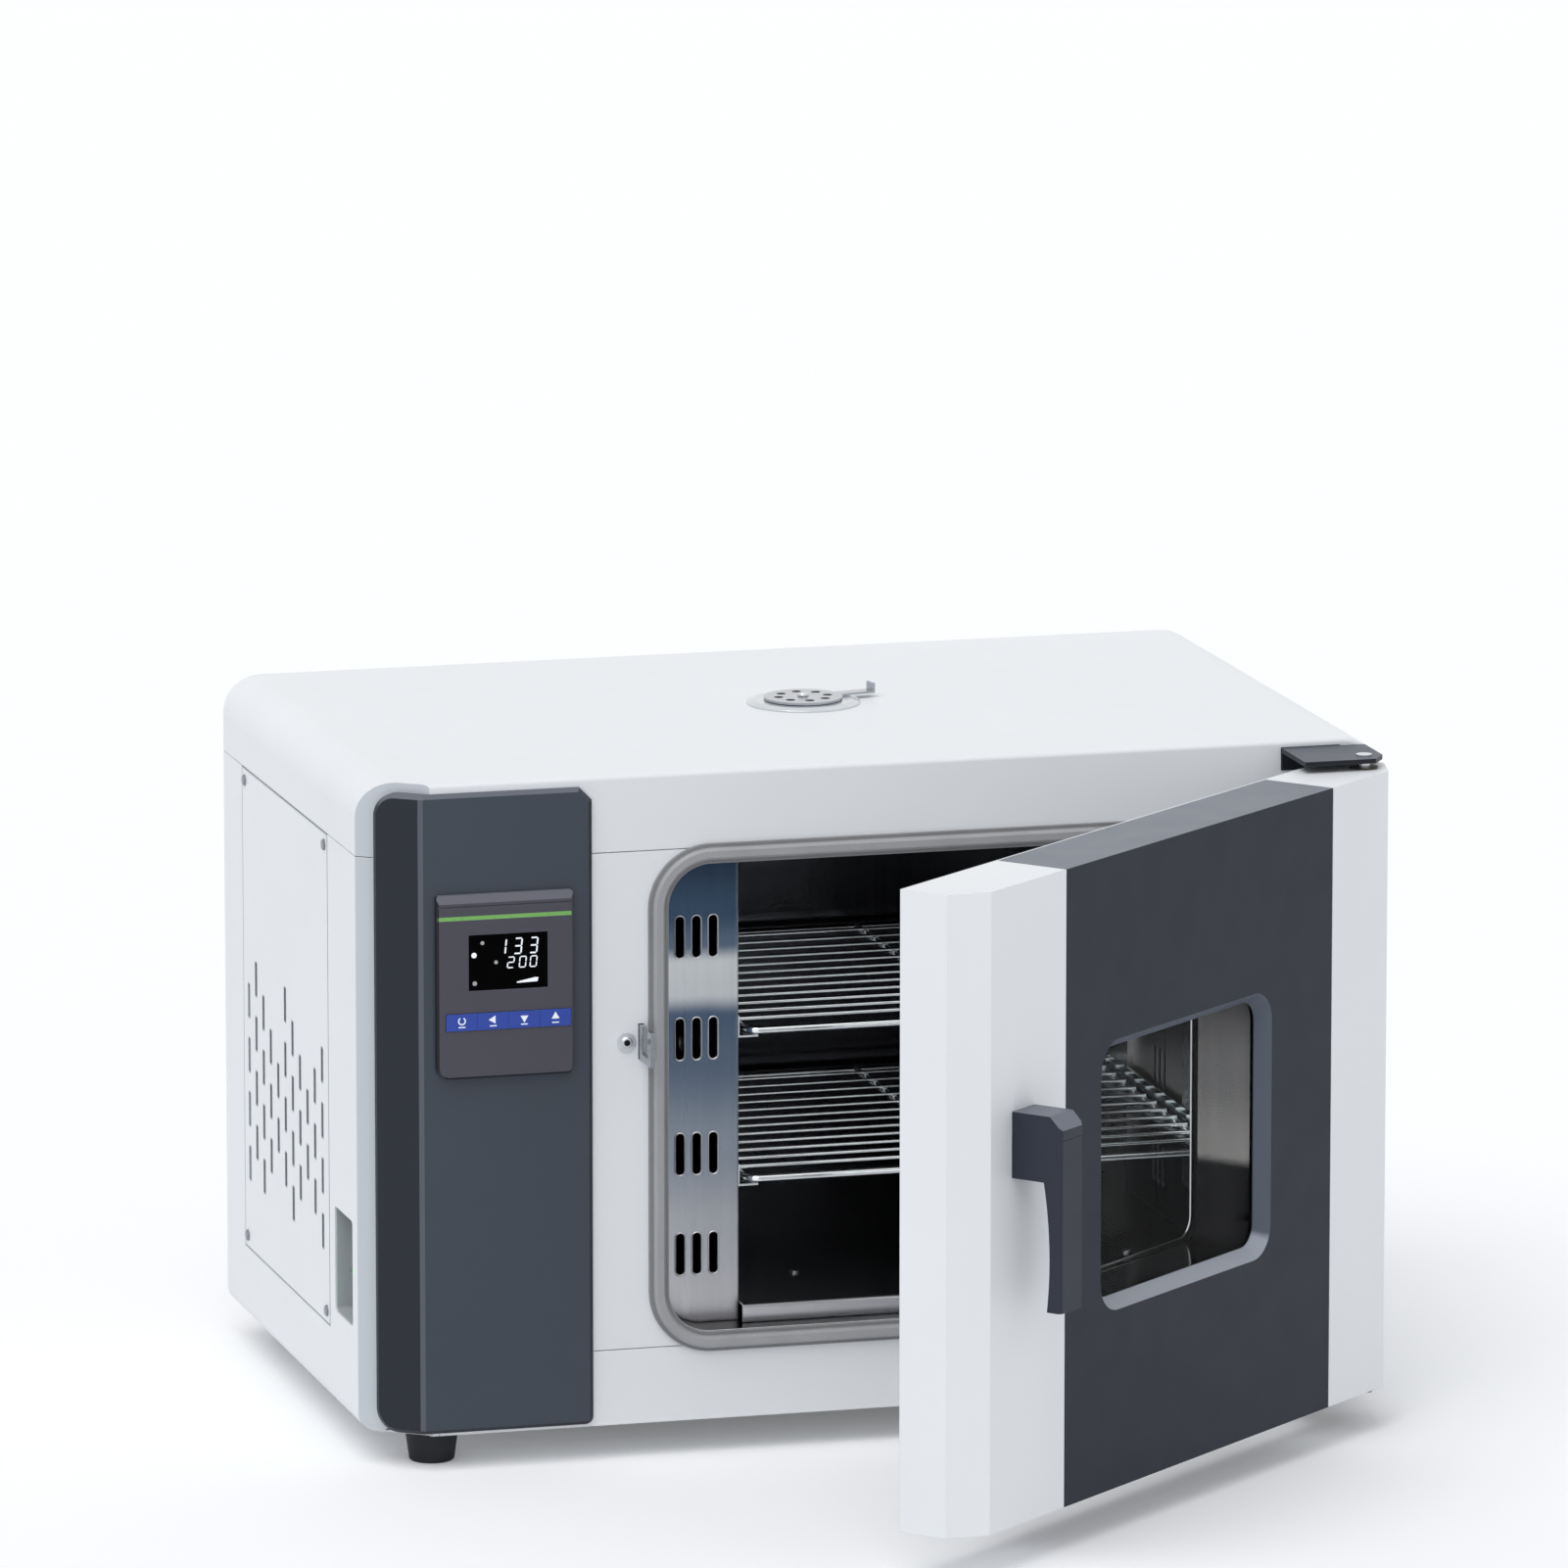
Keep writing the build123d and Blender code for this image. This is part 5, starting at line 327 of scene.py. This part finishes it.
    def socket(self, x, z, radius, colour):
        """A dark disc of that radius round an axis that runs to the front, painted shade in a hole."""
        squares = []
        for name, middle in (("X", x), ("Z", z)):
            offset = self.math("SUBTRACT", self.axis(name), middle)
            squares.append(self.math("MULTIPLY", offset, offset))
        distance = self.math("SQRT", self.math("ADD", *squares))
        share = self.spread(distance, 0.0, 1.0, 0.9 * radius, 1.1 * radius)
        return self.paint(self.blend(share, colour, self.colour))

    def mottle(self, scale, amount, stretch=(1.0, 1.0, 1.0)):
        """Slow changes of tone over the surface, by a share of the colour."""
        factor = self.spread(self.noise(scale, stretch), 1.0 - amount, 1.0 + amount)
        node = self.tree.nodes.new("ShaderNodeVectorMath")
        node.operation = "SCALE"
        if isinstance(self.colour, tuple):
            node.inputs[0].default_value = self.colour[:3]
        else:
            self.link(self.colour, node.inputs[0])
        self.link(factor, node.inputs["Scale"])
        return self.paint(node.outputs["Vector"])

    def rub(self, scale, amount, stretch=(1.0, 1.0, 1.0)):
        """Changes of roughness over the surface."""
        factor = self.noise(scale, stretch)
        low = max(self.roughness - amount, 0.0)
        self.link(self.spread(factor, low, self.roughness + amount), self.shader.inputs["Roughness"])
        return self

    def bump(self, scale, depth, stretch=(1.0, 1.0, 1.0), strength=1.0, detail=3.0):
        """Fine relief of that depth in metres."""
        node = self.tree.nodes.new("ShaderNodeBump")
        node.inputs["Strength"].default_value = strength
        node.inputs["Distance"].default_value = depth
        self.link(self.noise(scale, stretch, detail), node.inputs["Height"])
        if self.normal is not None:
            self.link(self.normal, node.inputs["Normal"])
        self.normal = node.outputs["Normal"]
        self.link(self.normal, self.shader.inputs["Normal"])
        return self


# Directions in which faces look.
FRONT = (0.0, -1.0, 0.0)
UP = (0.0, 0.0, 1.0)
DOWN = (0.0, 0.0, -1.0)
RIGHT = (1.0, 0.0, 0.0)
LEFT = (-1.0, 0.0, 0.0)
CUT_CORNER = (-0.6, -0.8, 0.0)
FASCIA_BEND = (-0.316, -0.949, 0.0)
DOOR_FRONT = (0.656, -0.755, 0.0)

POWDER_WHITE = srgb(238, 241, 244)
LEVEL_WAVER = 16.0 * MM


def powder_coat(name, colour, facing_light_and_shade=()):
    """Powder-coated sheet steel: a fine orange peel, soft edges painted lighter as a painted highlight, and
    painted shade on faces of given directions.
    """
    finish = Finish(name, colour, 0.42, specular=0.35)
    for tone in facing_light_and_shade:
        finish.tone(*tone)
    # Lighter edges: a painted highlight.
    finish.round_edges(0.7 * MM, edge_highlight_and_shade=srgb(247, 249, 251))
    finish.mottle(7.0, 0.012).rub(60.0, 0.05).bump(900.0, 0.03 * MM)
    return finish.material


def soft_plastic(name, colour, edge_highlight_and_shade, roughness=0.42, specular=0.22, edge=0.5 * MM, facing_light_and_shade=()):
    """Painted or moulded plastic with a fine texture, edges blended to a given colour (a painted highlight
    where lighter, a painted shade where darker), and painted light and shade on faces of given directions.
    """
    finish = Finish(name, colour, roughness, specular=specular)
    for tone in facing_light_and_shade:
        finish.tone(*tone)
    finish.round_edges(edge, edge_highlight_and_shade=edge_highlight_and_shade)
    finish.mottle(12.0, 0.018).rub(40.0, 0.03).bump(1500.0, 0.02 * MM)
    return finish.material


def steel_sheet(
    name, colour, roughness, grain=(1.0, 1.0, 0.02), edge_highlight_and_shade=None, levels=None, edge=0.4 * MM, facing_light_and_shade=(),
):
    """Stainless sheet with a fine grain along one axis, painted reflections and shade that may change with
    height, and painted highlights on its edges and on faces of given directions.
    """
    finish = Finish(name, colour, roughness, metallic=1.0)
    if levels is not None:
        finish.levels(levels, LEVEL_WAVER)
    for tone in facing_light_and_shade:
        finish.tone(*tone)
    finish.round_edges(edge, edge_highlight_and_shade=edge_highlight_and_shade)
    finish.mottle(160.0, 0.03, grain).rub(200.0, 0.03, grain).bump(500.0, 0.004 * MM, grain)
    return finish.material


def rubber(name, colour, roughness=0.65):
    """Matt rubber with a fine skin."""
    finish = Finish(name, colour, roughness, specular=0.3)
    finish.mottle(40.0, 0.08).rub(70.0, 0.08).bump(1100.0, 0.05 * MM)
    return finish.material


def glass(name):
    """Clear anti-glare glass, very slightly grey."""
    finish = Finish(name, srgb(250, 252, 252), 0.0)
    finish.set("Transmission Weight", 1.0).set("IOR", 1.06)
    finish.mottle(3.0, 0.01)
    return finish.material


def chrome(name, colour, roughness=0.12):
    """Bright drawn wire or turned steel."""
    finish = Finish(name, colour, roughness, metallic=1.0)
    finish.mottle(150.0, 0.05).rub(240.0, 0.05).bump(900.0, 0.01 * MM)
    return finish.material


def lit(name, colour, strength, roughness=0.3):
    """A surface that also gives light of its own, such as a display's digits."""
    finish = Finish(name, colour, roughness)
    finish.set("Emission Color", colour).set("Emission Strength", strength)
    finish.mottle(400.0, 0.05).rub(300.0, 0.05).bump(1500.0, 0.01 * MM)
    return finish.material


def dress(material, *nodes):
    """Gives CAD nodes a finish."""
    for node in nodes:
        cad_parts[node].material_slots[0].material = material


def dress_casing():
    """White powder coat; a grey coat in the switch recess, darkened further as painted shade; painted shade
    round the side vents and on the corner beside the fascia.
    """
    white = powder_coat("powder_white", POWDER_WHITE)
    dress(
        white, "right_side_panel", "back_panel", "base_tray", "front_frame", "partition_panel", "door_shell",
    )
    # The recess cup's grey is partly its own and partly painted shade of the recess.
    dress(powder_coat("powder_recess_shade", srgb(176, 179, 185)), "switch_recess_cup")
    # Painted shade round the side cover's edges and vent slots, blended over 2.6 mm from each edge.
    cover = Finish("powder_vents_shade", POWDER_WHITE, 0.42, specular=0.35)
    cover.round_edges(2.6 * MM, edge_highlight_and_shade=srgb(122, 127, 134), samples=8, start=0.93, end=0.998)
    cover.mottle(7.0, 0.012).rub(60.0, 0.05)
    dress(cover.material, "side_access_cover")
    # Painted shade on faces turned to the cut corner beside the fascia.
    shaded = ((CUT_CORNER, 0.93, 0.99, srgb(200, 206, 212)),)
    dress(powder_coat("powder_corner_shade", POWDER_WHITE, shaded), "top_cover", "left_side_panel")


def dress_slate():
    """The dark fascia, door panel, handle and hinges, with painted highlights on faces turned up or to the
    light and painted shade on faces turned away.
    """
    # Painted shade colour for the fascia's bottom and side faces.
    dark = srgb(34, 38, 46)
    # Painted highlight on the bend and top faces, painted shade on the cut corner, bottom and side faces; the
    # edges get a lighter painted highlight.
    fascia_highlight_and_shade = (
        (FASCIA_BEND, 0.965, 0.995, srgb(92, 96, 106)),
        (CUT_CORNER, 0.965, 0.99, srgb(38, 42, 51)),
        (UP, 0.35, 0.6, srgb(104, 108, 118)),
        (DOWN, 0.35, 0.6, dark),
        (RIGHT, 0.35, 0.6, dark),
        (LEFT, 0.86, 0.95, dark),
    )
    fascia = soft_plastic("slate_fascia", srgb(68, 75, 85), srgb(84, 91, 101), facing_light_and_shade=fascia_highlight_and_shade)
    dress(fascia, "control_fascia")
    # The panel's base colour is a lighter painted sheen for its bevels and sides, faces turned up get a painted
    # highlight, faces turned to the front the panel's dark slate, and its edges a painted shadow.
    door_sheen_and_shade = (
        (UP, 0.25, 0.45, srgb(164, 170, 180)),
        (UP, 0.90, 0.99, srgb(112, 119, 130)),
        (DOOR_FRONT, 0.75, 0.95, srgb(20, 28, 42)),
    )
    door = soft_plastic(
        "slate_door", srgb(92, 99, 112), srgb(30, 34, 43), edge=0.8 * MM, facing_light_and_shade=door_sheen_and_shade,
    )
    dress(door, "door_centre_panel")
    # Painted reflection on faces turned up, and a painted highlight on the edges.
    handle_sheen = ((UP, 0.3, 0.6, srgb(112, 116, 127)),)
    handle = soft_plastic("slate_handle", srgb(46, 50, 62), srgb(74, 78, 89), facing_light_and_shade=handle_sheen)
    dress(handle, "handle_lever")
    # Painted highlight on faces turned up and on the edges.
    hinge_highlight = ((UP, 0.4, 0.7, srgb(70, 76, 88)),)
    hinge = soft_plastic("slate_hinge", srgb(26, 29, 36), srgb(100, 106, 116), facing_light_and_shade=hinge_highlight)
    dress(hinge, "upper_hinge_bracket", "lower_hinge_bracket")


# Radius of the painted shade in the striker screw's socket.
STRIKER_SOCKET_SHADE = 2.0 * MM


def dress_chamber():
    """Stainless walls and wire, the striker and the vent, with painted reflections, highlights and shade."""
    # The liner's near-black colour is painted shade, standing in for the dim chamber's dark reflections.
    liner = steel_sheet("liner_steel", srgb(60, 61, 65), 0.2)
    dress(liner, "chamber_liner")
    # Near-black plate as painted shade, with a painted highlight on its edges and front-facing lip.
    lip_highlight = ((FRONT, 0.7, 0.95, srgb(196, 196, 199)),)
    floor = steel_sheet(
        "floor_steel", srgb(72, 73, 77), 0.2, grain=(0.02, 1.0, 1.0), edge_highlight_and_shade=srgb(232, 234, 236),
        edge=1.4 * MM, facing_light_and_shade=lip_highlight,
    )
    dress(floor, "chamber_floor_plate")
    # Painted reflections in bands up the duct strip, with a bright band between its slot rows, and a painted
    # highlight on its edges.
    strip_reflections = (
        (0.078, srgb(200, 199, 202)),
        (0.135, srgb(192, 195, 200)),
        (0.185, srgb(158, 168, 180)),
        (0.245, srgb(104, 120, 140)),
        (0.272, srgb(92, 110, 134)),
        (0.286, srgb(224, 229, 231)),
        (0.306, srgb(230, 234, 235)),
        (0.318, srgb(104, 122, 144)),
        (0.338, srgb(72, 92, 116)),
        (0.374, srgb(50, 66, 86)),
    )
    duct = steel_sheet(
        "duct_steel", srgb(150, 160, 174), 0.3, edge_highlight_and_shade=srgb(246, 248, 249), levels=strip_reflections, edge=1.9 * MM,
    )
    dress(duct, "left_duct_panel")
    # Painted shade low on the right duct panel and a painted reflection above it, with a painted highlight on
    # its edges.
    wall_reflection_and_shade = (
        (0.078, srgb(40, 40, 42)),
        (0.150, srgb(46, 46, 48)),
        (0.160, srgb(214, 208, 204)),
        (0.230, srgb(190, 186, 184)),
        (0.374, srgb(150, 150, 152)),
    )
    wall = steel_sheet(
        "wall_steel", srgb(120, 118, 118), 0.3, edge_highlight_and_shade=srgb(214, 214, 214), levels=wall_reflection_and_shade, edge=0.8 * MM,
    )
    dress(wall, "right_duct_panel")
    # Painted highlight on the edges of the pilasters and the door's inner panel.
    bright = steel_sheet("bright_steel", srgb(196, 196, 198), 0.24, edge_highlight_and_shade=srgb(240, 241, 242))
    dress(bright, "shelf_pilasters", "door_inner_panel")
    wire = chrome("wire_chrome", srgb(232, 236, 238), 0.1)
    dress(wire, "upper_shelf", "lower_shelf", "upper_shelf_runners", "lower_shelf_runners")
    screws = chrome("screw_steel", srgb(206, 209, 213), 0.22)
    dress(screws, "floor_plate_screws", "vent_pivot_screw", "hinge_pins", "latch_spindle")
    dress(chrome("striker_steel", srgb(158, 161, 168), 0.16), "door_striker")
    # The screw's socket is painted dark: painted shade in its hole.
    low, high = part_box("striker_screw")
    screw = Finish("striker_screw_steel", srgb(214, 217, 220), 0.3, metallic=1.0)
    screw.socket((low.x + high.x) / 2, (low.z + high.z) / 2, STRIKER_SOCKET_SHADE, srgb(38, 40, 44))
    screw.mottle(150.0, 0.05).rub(240.0, 0.05)
    dress(screw.material, "striker_screw")
    dress(chrome("cover_screw_steel", srgb(140, 143, 148), 0.3), "access_cover_screws")
    # Painted highlight on the vent flange's edges.
    vent = steel_sheet("vent_steel", srgb(206, 210, 214), 0.2, (1.0, 1.0, 1.0), srgb(245, 246, 247))
    dress(vent, "vent_flange")
    dress(chrome("damper_steel", srgb(168, 172, 178), 0.16), "vent_damper")
    # The stack is near-black: painted shade seen through the damper's holes.
    dress(chrome("stack_steel", srgb(46, 46, 50), 0.4), "vent_stack")


# Painted shade in the seal's fold, between these depths.
SEAL_FACE = -20.0 * MM
SEAL_FOLD = -18.6 * MM


def dress_seals():
    """The door's seal with painted shade in its fold and a painted highlight on its edges, the feet, and the
    spacer between the panes with painted reflection and shade.
    """
    seal = Finish("seal_rubber", srgb(164, 165, 168), 0.5, specular=0.3)
    # Painted shade: darker from the seal's face back into its fold.
    depth = seal.spread(seal.axis("Y"), 0.0, 1.0, start=SEAL_FACE, end=SEAL_FOLD)
    seal.paint(seal.blend(depth, seal.colour, srgb(138, 138, 140)))
    # Painted highlight on the seal's edges.
    seal.round_edges(0.8 * MM, edge_highlight_and_shade=srgb(190, 191, 194))
    seal.mottle(40.0, 0.05).rub(70.0, 0.08).bump(1100.0, 0.04 * MM)
    dress(seal.material, "door_gasket")
    dress(rubber("foot_rubber", srgb(34, 36, 40)), "rubber_feet")
    # Painted shade low on the spacer and a painted reflection above it.
    spacer_reflection_and_shade = (
        (0.140, srgb(22, 22, 24)),
        (0.191, srgb(24, 24, 26)),
        (0.199, srgb(122, 119, 117)),
        (0.250, srgb(98, 96, 96)),
        (0.305, srgb(58, 57, 58)),
    )
    grain = (1.0, 1.0, 0.04)
    spacer = Finish("spacer_steel", srgb(70, 70, 71), 0.10, metallic=1.0)
    spacer.levels(spacer_reflection_and_shade).mottle(120.0, 0.10, grain).rub(160.0, 0.04, grain)
    dress(spacer.material, "window_spacer")


# The bezel's low corners, left (1) and right (-1), and how far what cuts them reaches past it.
BEZEL_ROUNDS = ((1, 8.0 * MM), (-1, 4.0 * MM))
BEZEL_BEVEL = 1.4 * MM
PAST = 1.0 * MM
CORNER_STEPS = 12
WELD = 0.002 * MM


def corner_cutter(side, radius):
    """What lies outside the bezel's rounded low corner, bevelled as its edge is."""
    low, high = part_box("controller_bezel")
    edge = low.x if side > 0 else high.x
    levels = ((high.y + PAST, 0.0), (low.y + BEZEL_BEVEL, 0.0), (low.y - PAST, BEZEL_BEVEL + PAST))
    shape = bmesh.new()
    rings = []
    for y, inset in levels:
        reach = radius - inset
        ring = []
        for step in range(CORNER_STEPS + 1):
            turn = math.pi * (1.0 + 0.5 * step / CORNER_STEPS)
            x = edge + side * (radius + reach * math.cos(turn))
            ring.append((x, low.z + radius + reach * math.sin(turn)))
        ring += [
            (edge + side * radius, low.z - PAST),
            (edge - side * PAST, low.z - PAST),
            (edge - side * PAST, low.z + radius),
        ]
        rings.append([shape.verts.new((x, y, z)) for x, z in ring])
    join_rings(shape, rings)
    shape.faces.new(rings[0])
    shape.faces.new(rings[-1])
    mesh = bpy.data.meshes.new("corner_cutter")
    close_shape(shape, mesh)
    return add_object("corner_cutter", mesh)


def make_bezel(material):
    """The bezel with its low corners rounded, in the place of the square-cornered node."""
    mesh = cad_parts["controller_bezel"].data.copy()
    joined = bmesh.new()
    joined.from_mesh(mesh)
    bmesh.ops.remove_doubles(joined, verts=joined.verts, dist=WELD)
    joined.to_mesh(mesh)
    joined.free()
    piece = add_object("bezel_front", mesh)
    cutters = [corner_cutter(side, radius) for side, radius in BEZEL_ROUNDS]
    for cutter in cutters:
        cut = piece.modifiers.new(cutter.name, "BOOLEAN")
        cut.operation = "DIFFERENCE"
        cut.solver = "EXACT"
        cut.object = cutter
    solid = bpy.data.meshes.new_from_object(piece.evaluated_get(bpy.context.evaluated_depsgraph_get()))
    piece.modifiers.clear()
    piece.data = solid
    solid.materials.clear()
    solid.materials.append(material)
    for face in solid.polygons:
        face.use_smooth = False
        face.material_index = 0
    for cutter in cutters:
        bpy.data.objects.remove(cutter)
    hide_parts("controller_bezel")
    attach(piece, "cabinet")


def dress_controller():
    """The bezel with painted highlight and shade, the black display, the green line with a faint painted glow,
    and the blue keys.
    """
    # Painted highlight on the bezel's top and edges, painted shade on its bottom and left faces.
    painted_edge_shade = srgb(26, 26, 32)
    bezel_highlight_and_shade = (
        (UP, 0.2, 0.5, srgb(118, 118, 130)),
        (DOWN, 0.4, 0.7, painted_edge_shade),
        (LEFT, 0.4, 0.7, painted_edge_shade),
    )
    bezel = soft_plastic(
        "bezel_plastic", srgb(80, 79, 89), srgb(104, 104, 114), edge=0.4 * MM, facing_light_and_shade=bezel_highlight_and_shade,
    )
    make_bezel(bezel)
    display = Finish("display_black", srgb(2, 2, 3), 0.25, specular=0.02)
    display.mottle(90.0, 0.1).rub(150.0, 0.04)
    dress(display.material, "display_window")
    # The green line is given a faint glow of its own: painted light.
    dress(lit("accent_green", srgb(112, 172, 88), 0.12), "accent_strip")
    key = soft_plastic("key_blue", srgb(56, 80, 172), srgb(88, 116, 204))
    dress(key, "set_key", "shift_key", "down_key", "up_key")


def dress_hidden():
    """What shows little or not at all: mouldings, rockers, insulation, the hot-air parts and the panes."""
    moulding = soft_plastic("moulding_black", srgb(40, 42, 46), srgb(66, 68, 72))
    dress(moulding, "controller_housing", "rocker_switch_bodies", "power_inlet")
    dress(lit("rocker_green", srgb(38, 158, 70), 0.06), "power_rocker", "lamp_rocker")
    dress(rubber("circuit_board", srgb(28, 84, 52), 0.5), "control_board")
    dress(rubber("glass_wool", srgb(206, 200, 176), 0.9), "chamber_insulation", "door_insulation")
    dress(chrome("motor_steel", srgb(150, 152, 156), 0.35), "fan_motor", "fan_impeller")
    dress(chrome("heater_steel", srgb(120, 112, 104), 0.4), "heater_element")
    dress(chrome("sensor_steel", srgb(190, 192, 196), 0.25), "temperature_sensor")
    dress(chrome("bush_bronze", srgb(74, 69, 62), 0.4), "door_hinge_bushes")
    dress(glass("window_glass"), "door_outer_glass", "door_inner_glass")


def plate(name, outlines, front, thickness, body, material):
    """Thin raised shapes, each an outline in x and z, on a surface that faces the front."""
    mesh = bpy.data.meshes.new(name)
    shapes = bmesh.new()
    for outline in outlines:
        ring = [shapes.verts.new((x, front, z)) for x, z in outline]
        face = shapes.faces.new(ring)
        raised = bmesh.ops.extrude_face_region(shapes, geom=[face])
        moved = [item for item in raised["geom"] if isinstance(item, bmesh.types.BMVert)]
        bmesh.ops.translate(shapes, verts=moved, vec=(0.0, -thickness, 0.0))
    close_shape(shapes, mesh)
    piece = add_object(name, mesh)
    mesh.materials.append(material)
    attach(piece, body)


def disc(x, z, radius, steps=24):
    """A round outline."""
    turns = [2 * math.pi * step / steps for step in range(steps)]
    return [(x + radius * math.cos(turn), z + radius * math.sin(turn)) for turn in turns]


def arc_band(x, z, outer, inner, start, end, steps=20):
    """A band between two radii, from one angle to another in degrees."""
    angles = [math.radians(start + (end - start) * step / steps) for step in range(steps + 1)]
    outside = [(x + outer * math.cos(a), z + outer * math.sin(a)) for a in angles]
    inside = [(x + inner * math.cos(a), z + inner * math.sin(a)) for a in reversed(angles)]
    return outside + inside


# Which of the seven strokes each digit lights, as (column, row, column, row) ends in a 1 by 2 cell.
STROKES = {
    "a": (0, 2, 1, 2), "b": (1, 2, 1, 1), "c": (1, 1, 1, 0), "d": (0, 0, 1, 0),
    "e": (0, 1, 0, 0), "f": (0, 2, 0, 1), "g": (0, 1, 1, 1),
}
DIGITS = {"0": "abcdef", "1": "bc", "2": "abged", "3": "abgcd"}
DIGIT_SLANT = 0.10
STROKE_GAP = 0.15


def digit(character, left, base, width, height, stroke):
    """The lit strokes of one slanted digit, each a six-sided bar with pointed ends."""
    bars = []
    for letter in DIGITS[character]:
        column, row, column_end, row_end = STROKES[letter]
        start = Vector((column * width, row * height / 2))
        end = Vector((column_end * width, row_end * height / 2))
        along = (end - start).normalized()
        across = Vector((-along.y, along.x)) * stroke / 2
        gap = along * stroke * STROKE_GAP
        tip = along * stroke / 2
        first = start + gap
        last = end - gap
        bar = (
            first, first + tip + across, last - tip + across,
            last, last - tip - across, first + tip - across,
        )
        bars.append([(left + p.x + p.y * DIGIT_SLANT, base + p.y) for p in bar])
    return bars


# The pressed rims round the slots of the left duct strip: three columns, one row at each level.
DUCT_FRONT = 8.5 * MM
STRIP_MIDDLE = -109.75 * MM
SLOT_PITCH = 10.7 * MM
SLOT_LEVELS = (0.122, 0.1855, 0.2585, 0.323)
SLOT_LENGTH = 26.0 * MM
SLOT_WIDTH = 5.2 * MM
RIM_WIDTH = 1.1 * MM
RIM_HEIGHT = 0.35 * MM


def slot_outline(x, z, width, length, steps=8):
    """An upright slot with round ends, anticlockwise."""
    radius = width / 2
    reach = length / 2 - radius
    ring = []
    for sign, start in ((1, 0.0), (-1, math.pi)):
        for step in range(steps + 1):
            turn = start + math.pi * step / steps
            ring.append((x + radius * math.cos(turn), z + sign * reach + radius * math.sin(turn)))
    return ring


def make_slot_rims():
    """A raised rim round each slot, highest along its middle."""
    mesh = bpy.data.meshes.new("duct_slot_rims")
    rims = bmesh.new()
    profile = ((0.0, 0.0), (0.5, RIM_HEIGHT), (1.0, 0.0))
    for z in SLOT_LEVELS:
        for column in (-1, 0, 1):
            x = STRIP_MIDDLE + column * SLOT_PITCH
            loops = []
            for share, lift in profile:
                grow = 2 * RIM_WIDTH * share
                outline = slot_outline(x, z, SLOT_WIDTH + grow, SLOT_LENGTH + grow)
                loops.append([rims.verts.new((px, DUCT_FRONT - lift, pz)) for px, pz in outline])
            join_rings(rims, loops + loops[:1])
    close_shape(rims, mesh)
    piece = add_object("duct_slot_rims", mesh)
    mesh.materials.append(steel_sheet("rim_steel", srgb(226, 229, 231), 0.35))
    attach(piece, "cabinet")


# On the display, in millimetres from its right edge (digits, wedge) or left edge (marks) and from its top.
# Each row of digits: the text, the left ends of its digits, its base, and a digit's width, height and stroke.
DIGIT_ROWS = (
    ("133", (-31.3, -21.3, -11.4), -12.9, 4.4, 9.4, 0.95),
    ("200", (-25.5, -18.0, -11.2), -21.6, 3.9, 6.6, 0.75),
)
WEDGE = ((-19.5, -31.4), (-6.4, -31.0), (-5.8, -28.6), (-7.6, -28.3), (-19.5, -30.6))
# Each round mark: its middle and radius.
BRIGHT_MARK = (3.5, -12.8, 1.7)
GREY_MARKS = ((8.8, -5.3, 1.2), (17.4, -17.8, 1.2), (3.9, -30.4, 1.4))
DIGIT_THICKNESS = 0.12 * MM


def make_display():
    """White digits, a wedge and marks on the display, as plain numbers."""
    low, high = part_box("display_window")
    white = lit("digit_white", srgb(214, 218, 224), 0.55)
    grey = lit("mark_grey", srgb(150, 152, 154), 0.3)
    bars = []
    for text, lefts, base, width, height, stroke in DIGIT_ROWS:
        for character, left in zip(text, lefts):
            bars += digit(
                character, high.x + left * MM, high.z + base * MM, width * MM, height * MM, stroke * MM,
            )
    bright, *marks = [
        disc(low.x + x * MM, high.z + z * MM, radius * MM) for x, z, radius in (BRIGHT_MARK, *GREY_MARKS)
    ]
    bars.append(bright)
    bars.append([(high.x + x * MM, high.z + z * MM) for x, z in WEDGE])
    plate("display_digits", bars, low.y, DIGIT_THICKNESS, "cabinet", white)
    plate("display_marks", marks, low.y, DIGIT_THICKNESS, "cabinet", grey)


# Each key's sign stands over a bar.
SIGN_RISE = 0.9 * MM
BAR_HALF_WIDTH = 2.2 * MM
BAR_LOW = -4.2 * MM
BAR_HIGH = -3.5 * MM
ARROW_RADIUS = 2.9 * MM
RING_OUTER = 2.5 * MM
RING_INNER = 1.7 * MM
RING_ENDS = (120, 420)
SIGN_THICKNESS = 0.1 * MM


def make_key_signs():
    """A plain sign on each key: a ring, and arrows to the left, down and up."""
    # The key ink is given a glow of its own: painted light.
    ink = lit("key_ink", srgb(226, 232, 244), 0.25)
    arrows = {"shift_key": math.pi, "down_key": -math.pi / 2, "up_key": math.pi / 2}
    for key in ("set_key", "shift_key", "down_key", "up_key"):
        low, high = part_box(key)
        x = (low.x + high.x) / 2
        z = (low.z + high.z) / 2 + SIGN_RISE
        bar = [
            (x - BAR_HALF_WIDTH, z + BAR_LOW), (x + BAR_HALF_WIDTH, z + BAR_LOW),
            (x + BAR_HALF_WIDTH, z + BAR_HIGH), (x - BAR_HALF_WIDTH, z + BAR_HIGH),
        ]
        if key in arrows:
            turns = [arrows[key] + corner * 2 * math.pi / 3 for corner in range(3)]
            sign = [(x + ARROW_RADIUS * math.cos(turn), z + ARROW_RADIUS * math.sin(turn)) for turn in turns]
        else:
            sign = arc_band(x, z, RING_OUTER, RING_INNER, *RING_ENDS)
        plate(f"{key}_sign", [bar, sign], low.y, SIGN_THICKNESS, key, ink)


bpy.context.scene.view_settings.view_transform = "Standard"
make_camera()
make_world()
make_lamps()
make_floor()
dress_casing()
dress_slate()
dress_chamber()
dress_seals()
dress_controller()
dress_hidden()
make_slot_rims()
make_display()
make_key_signs()
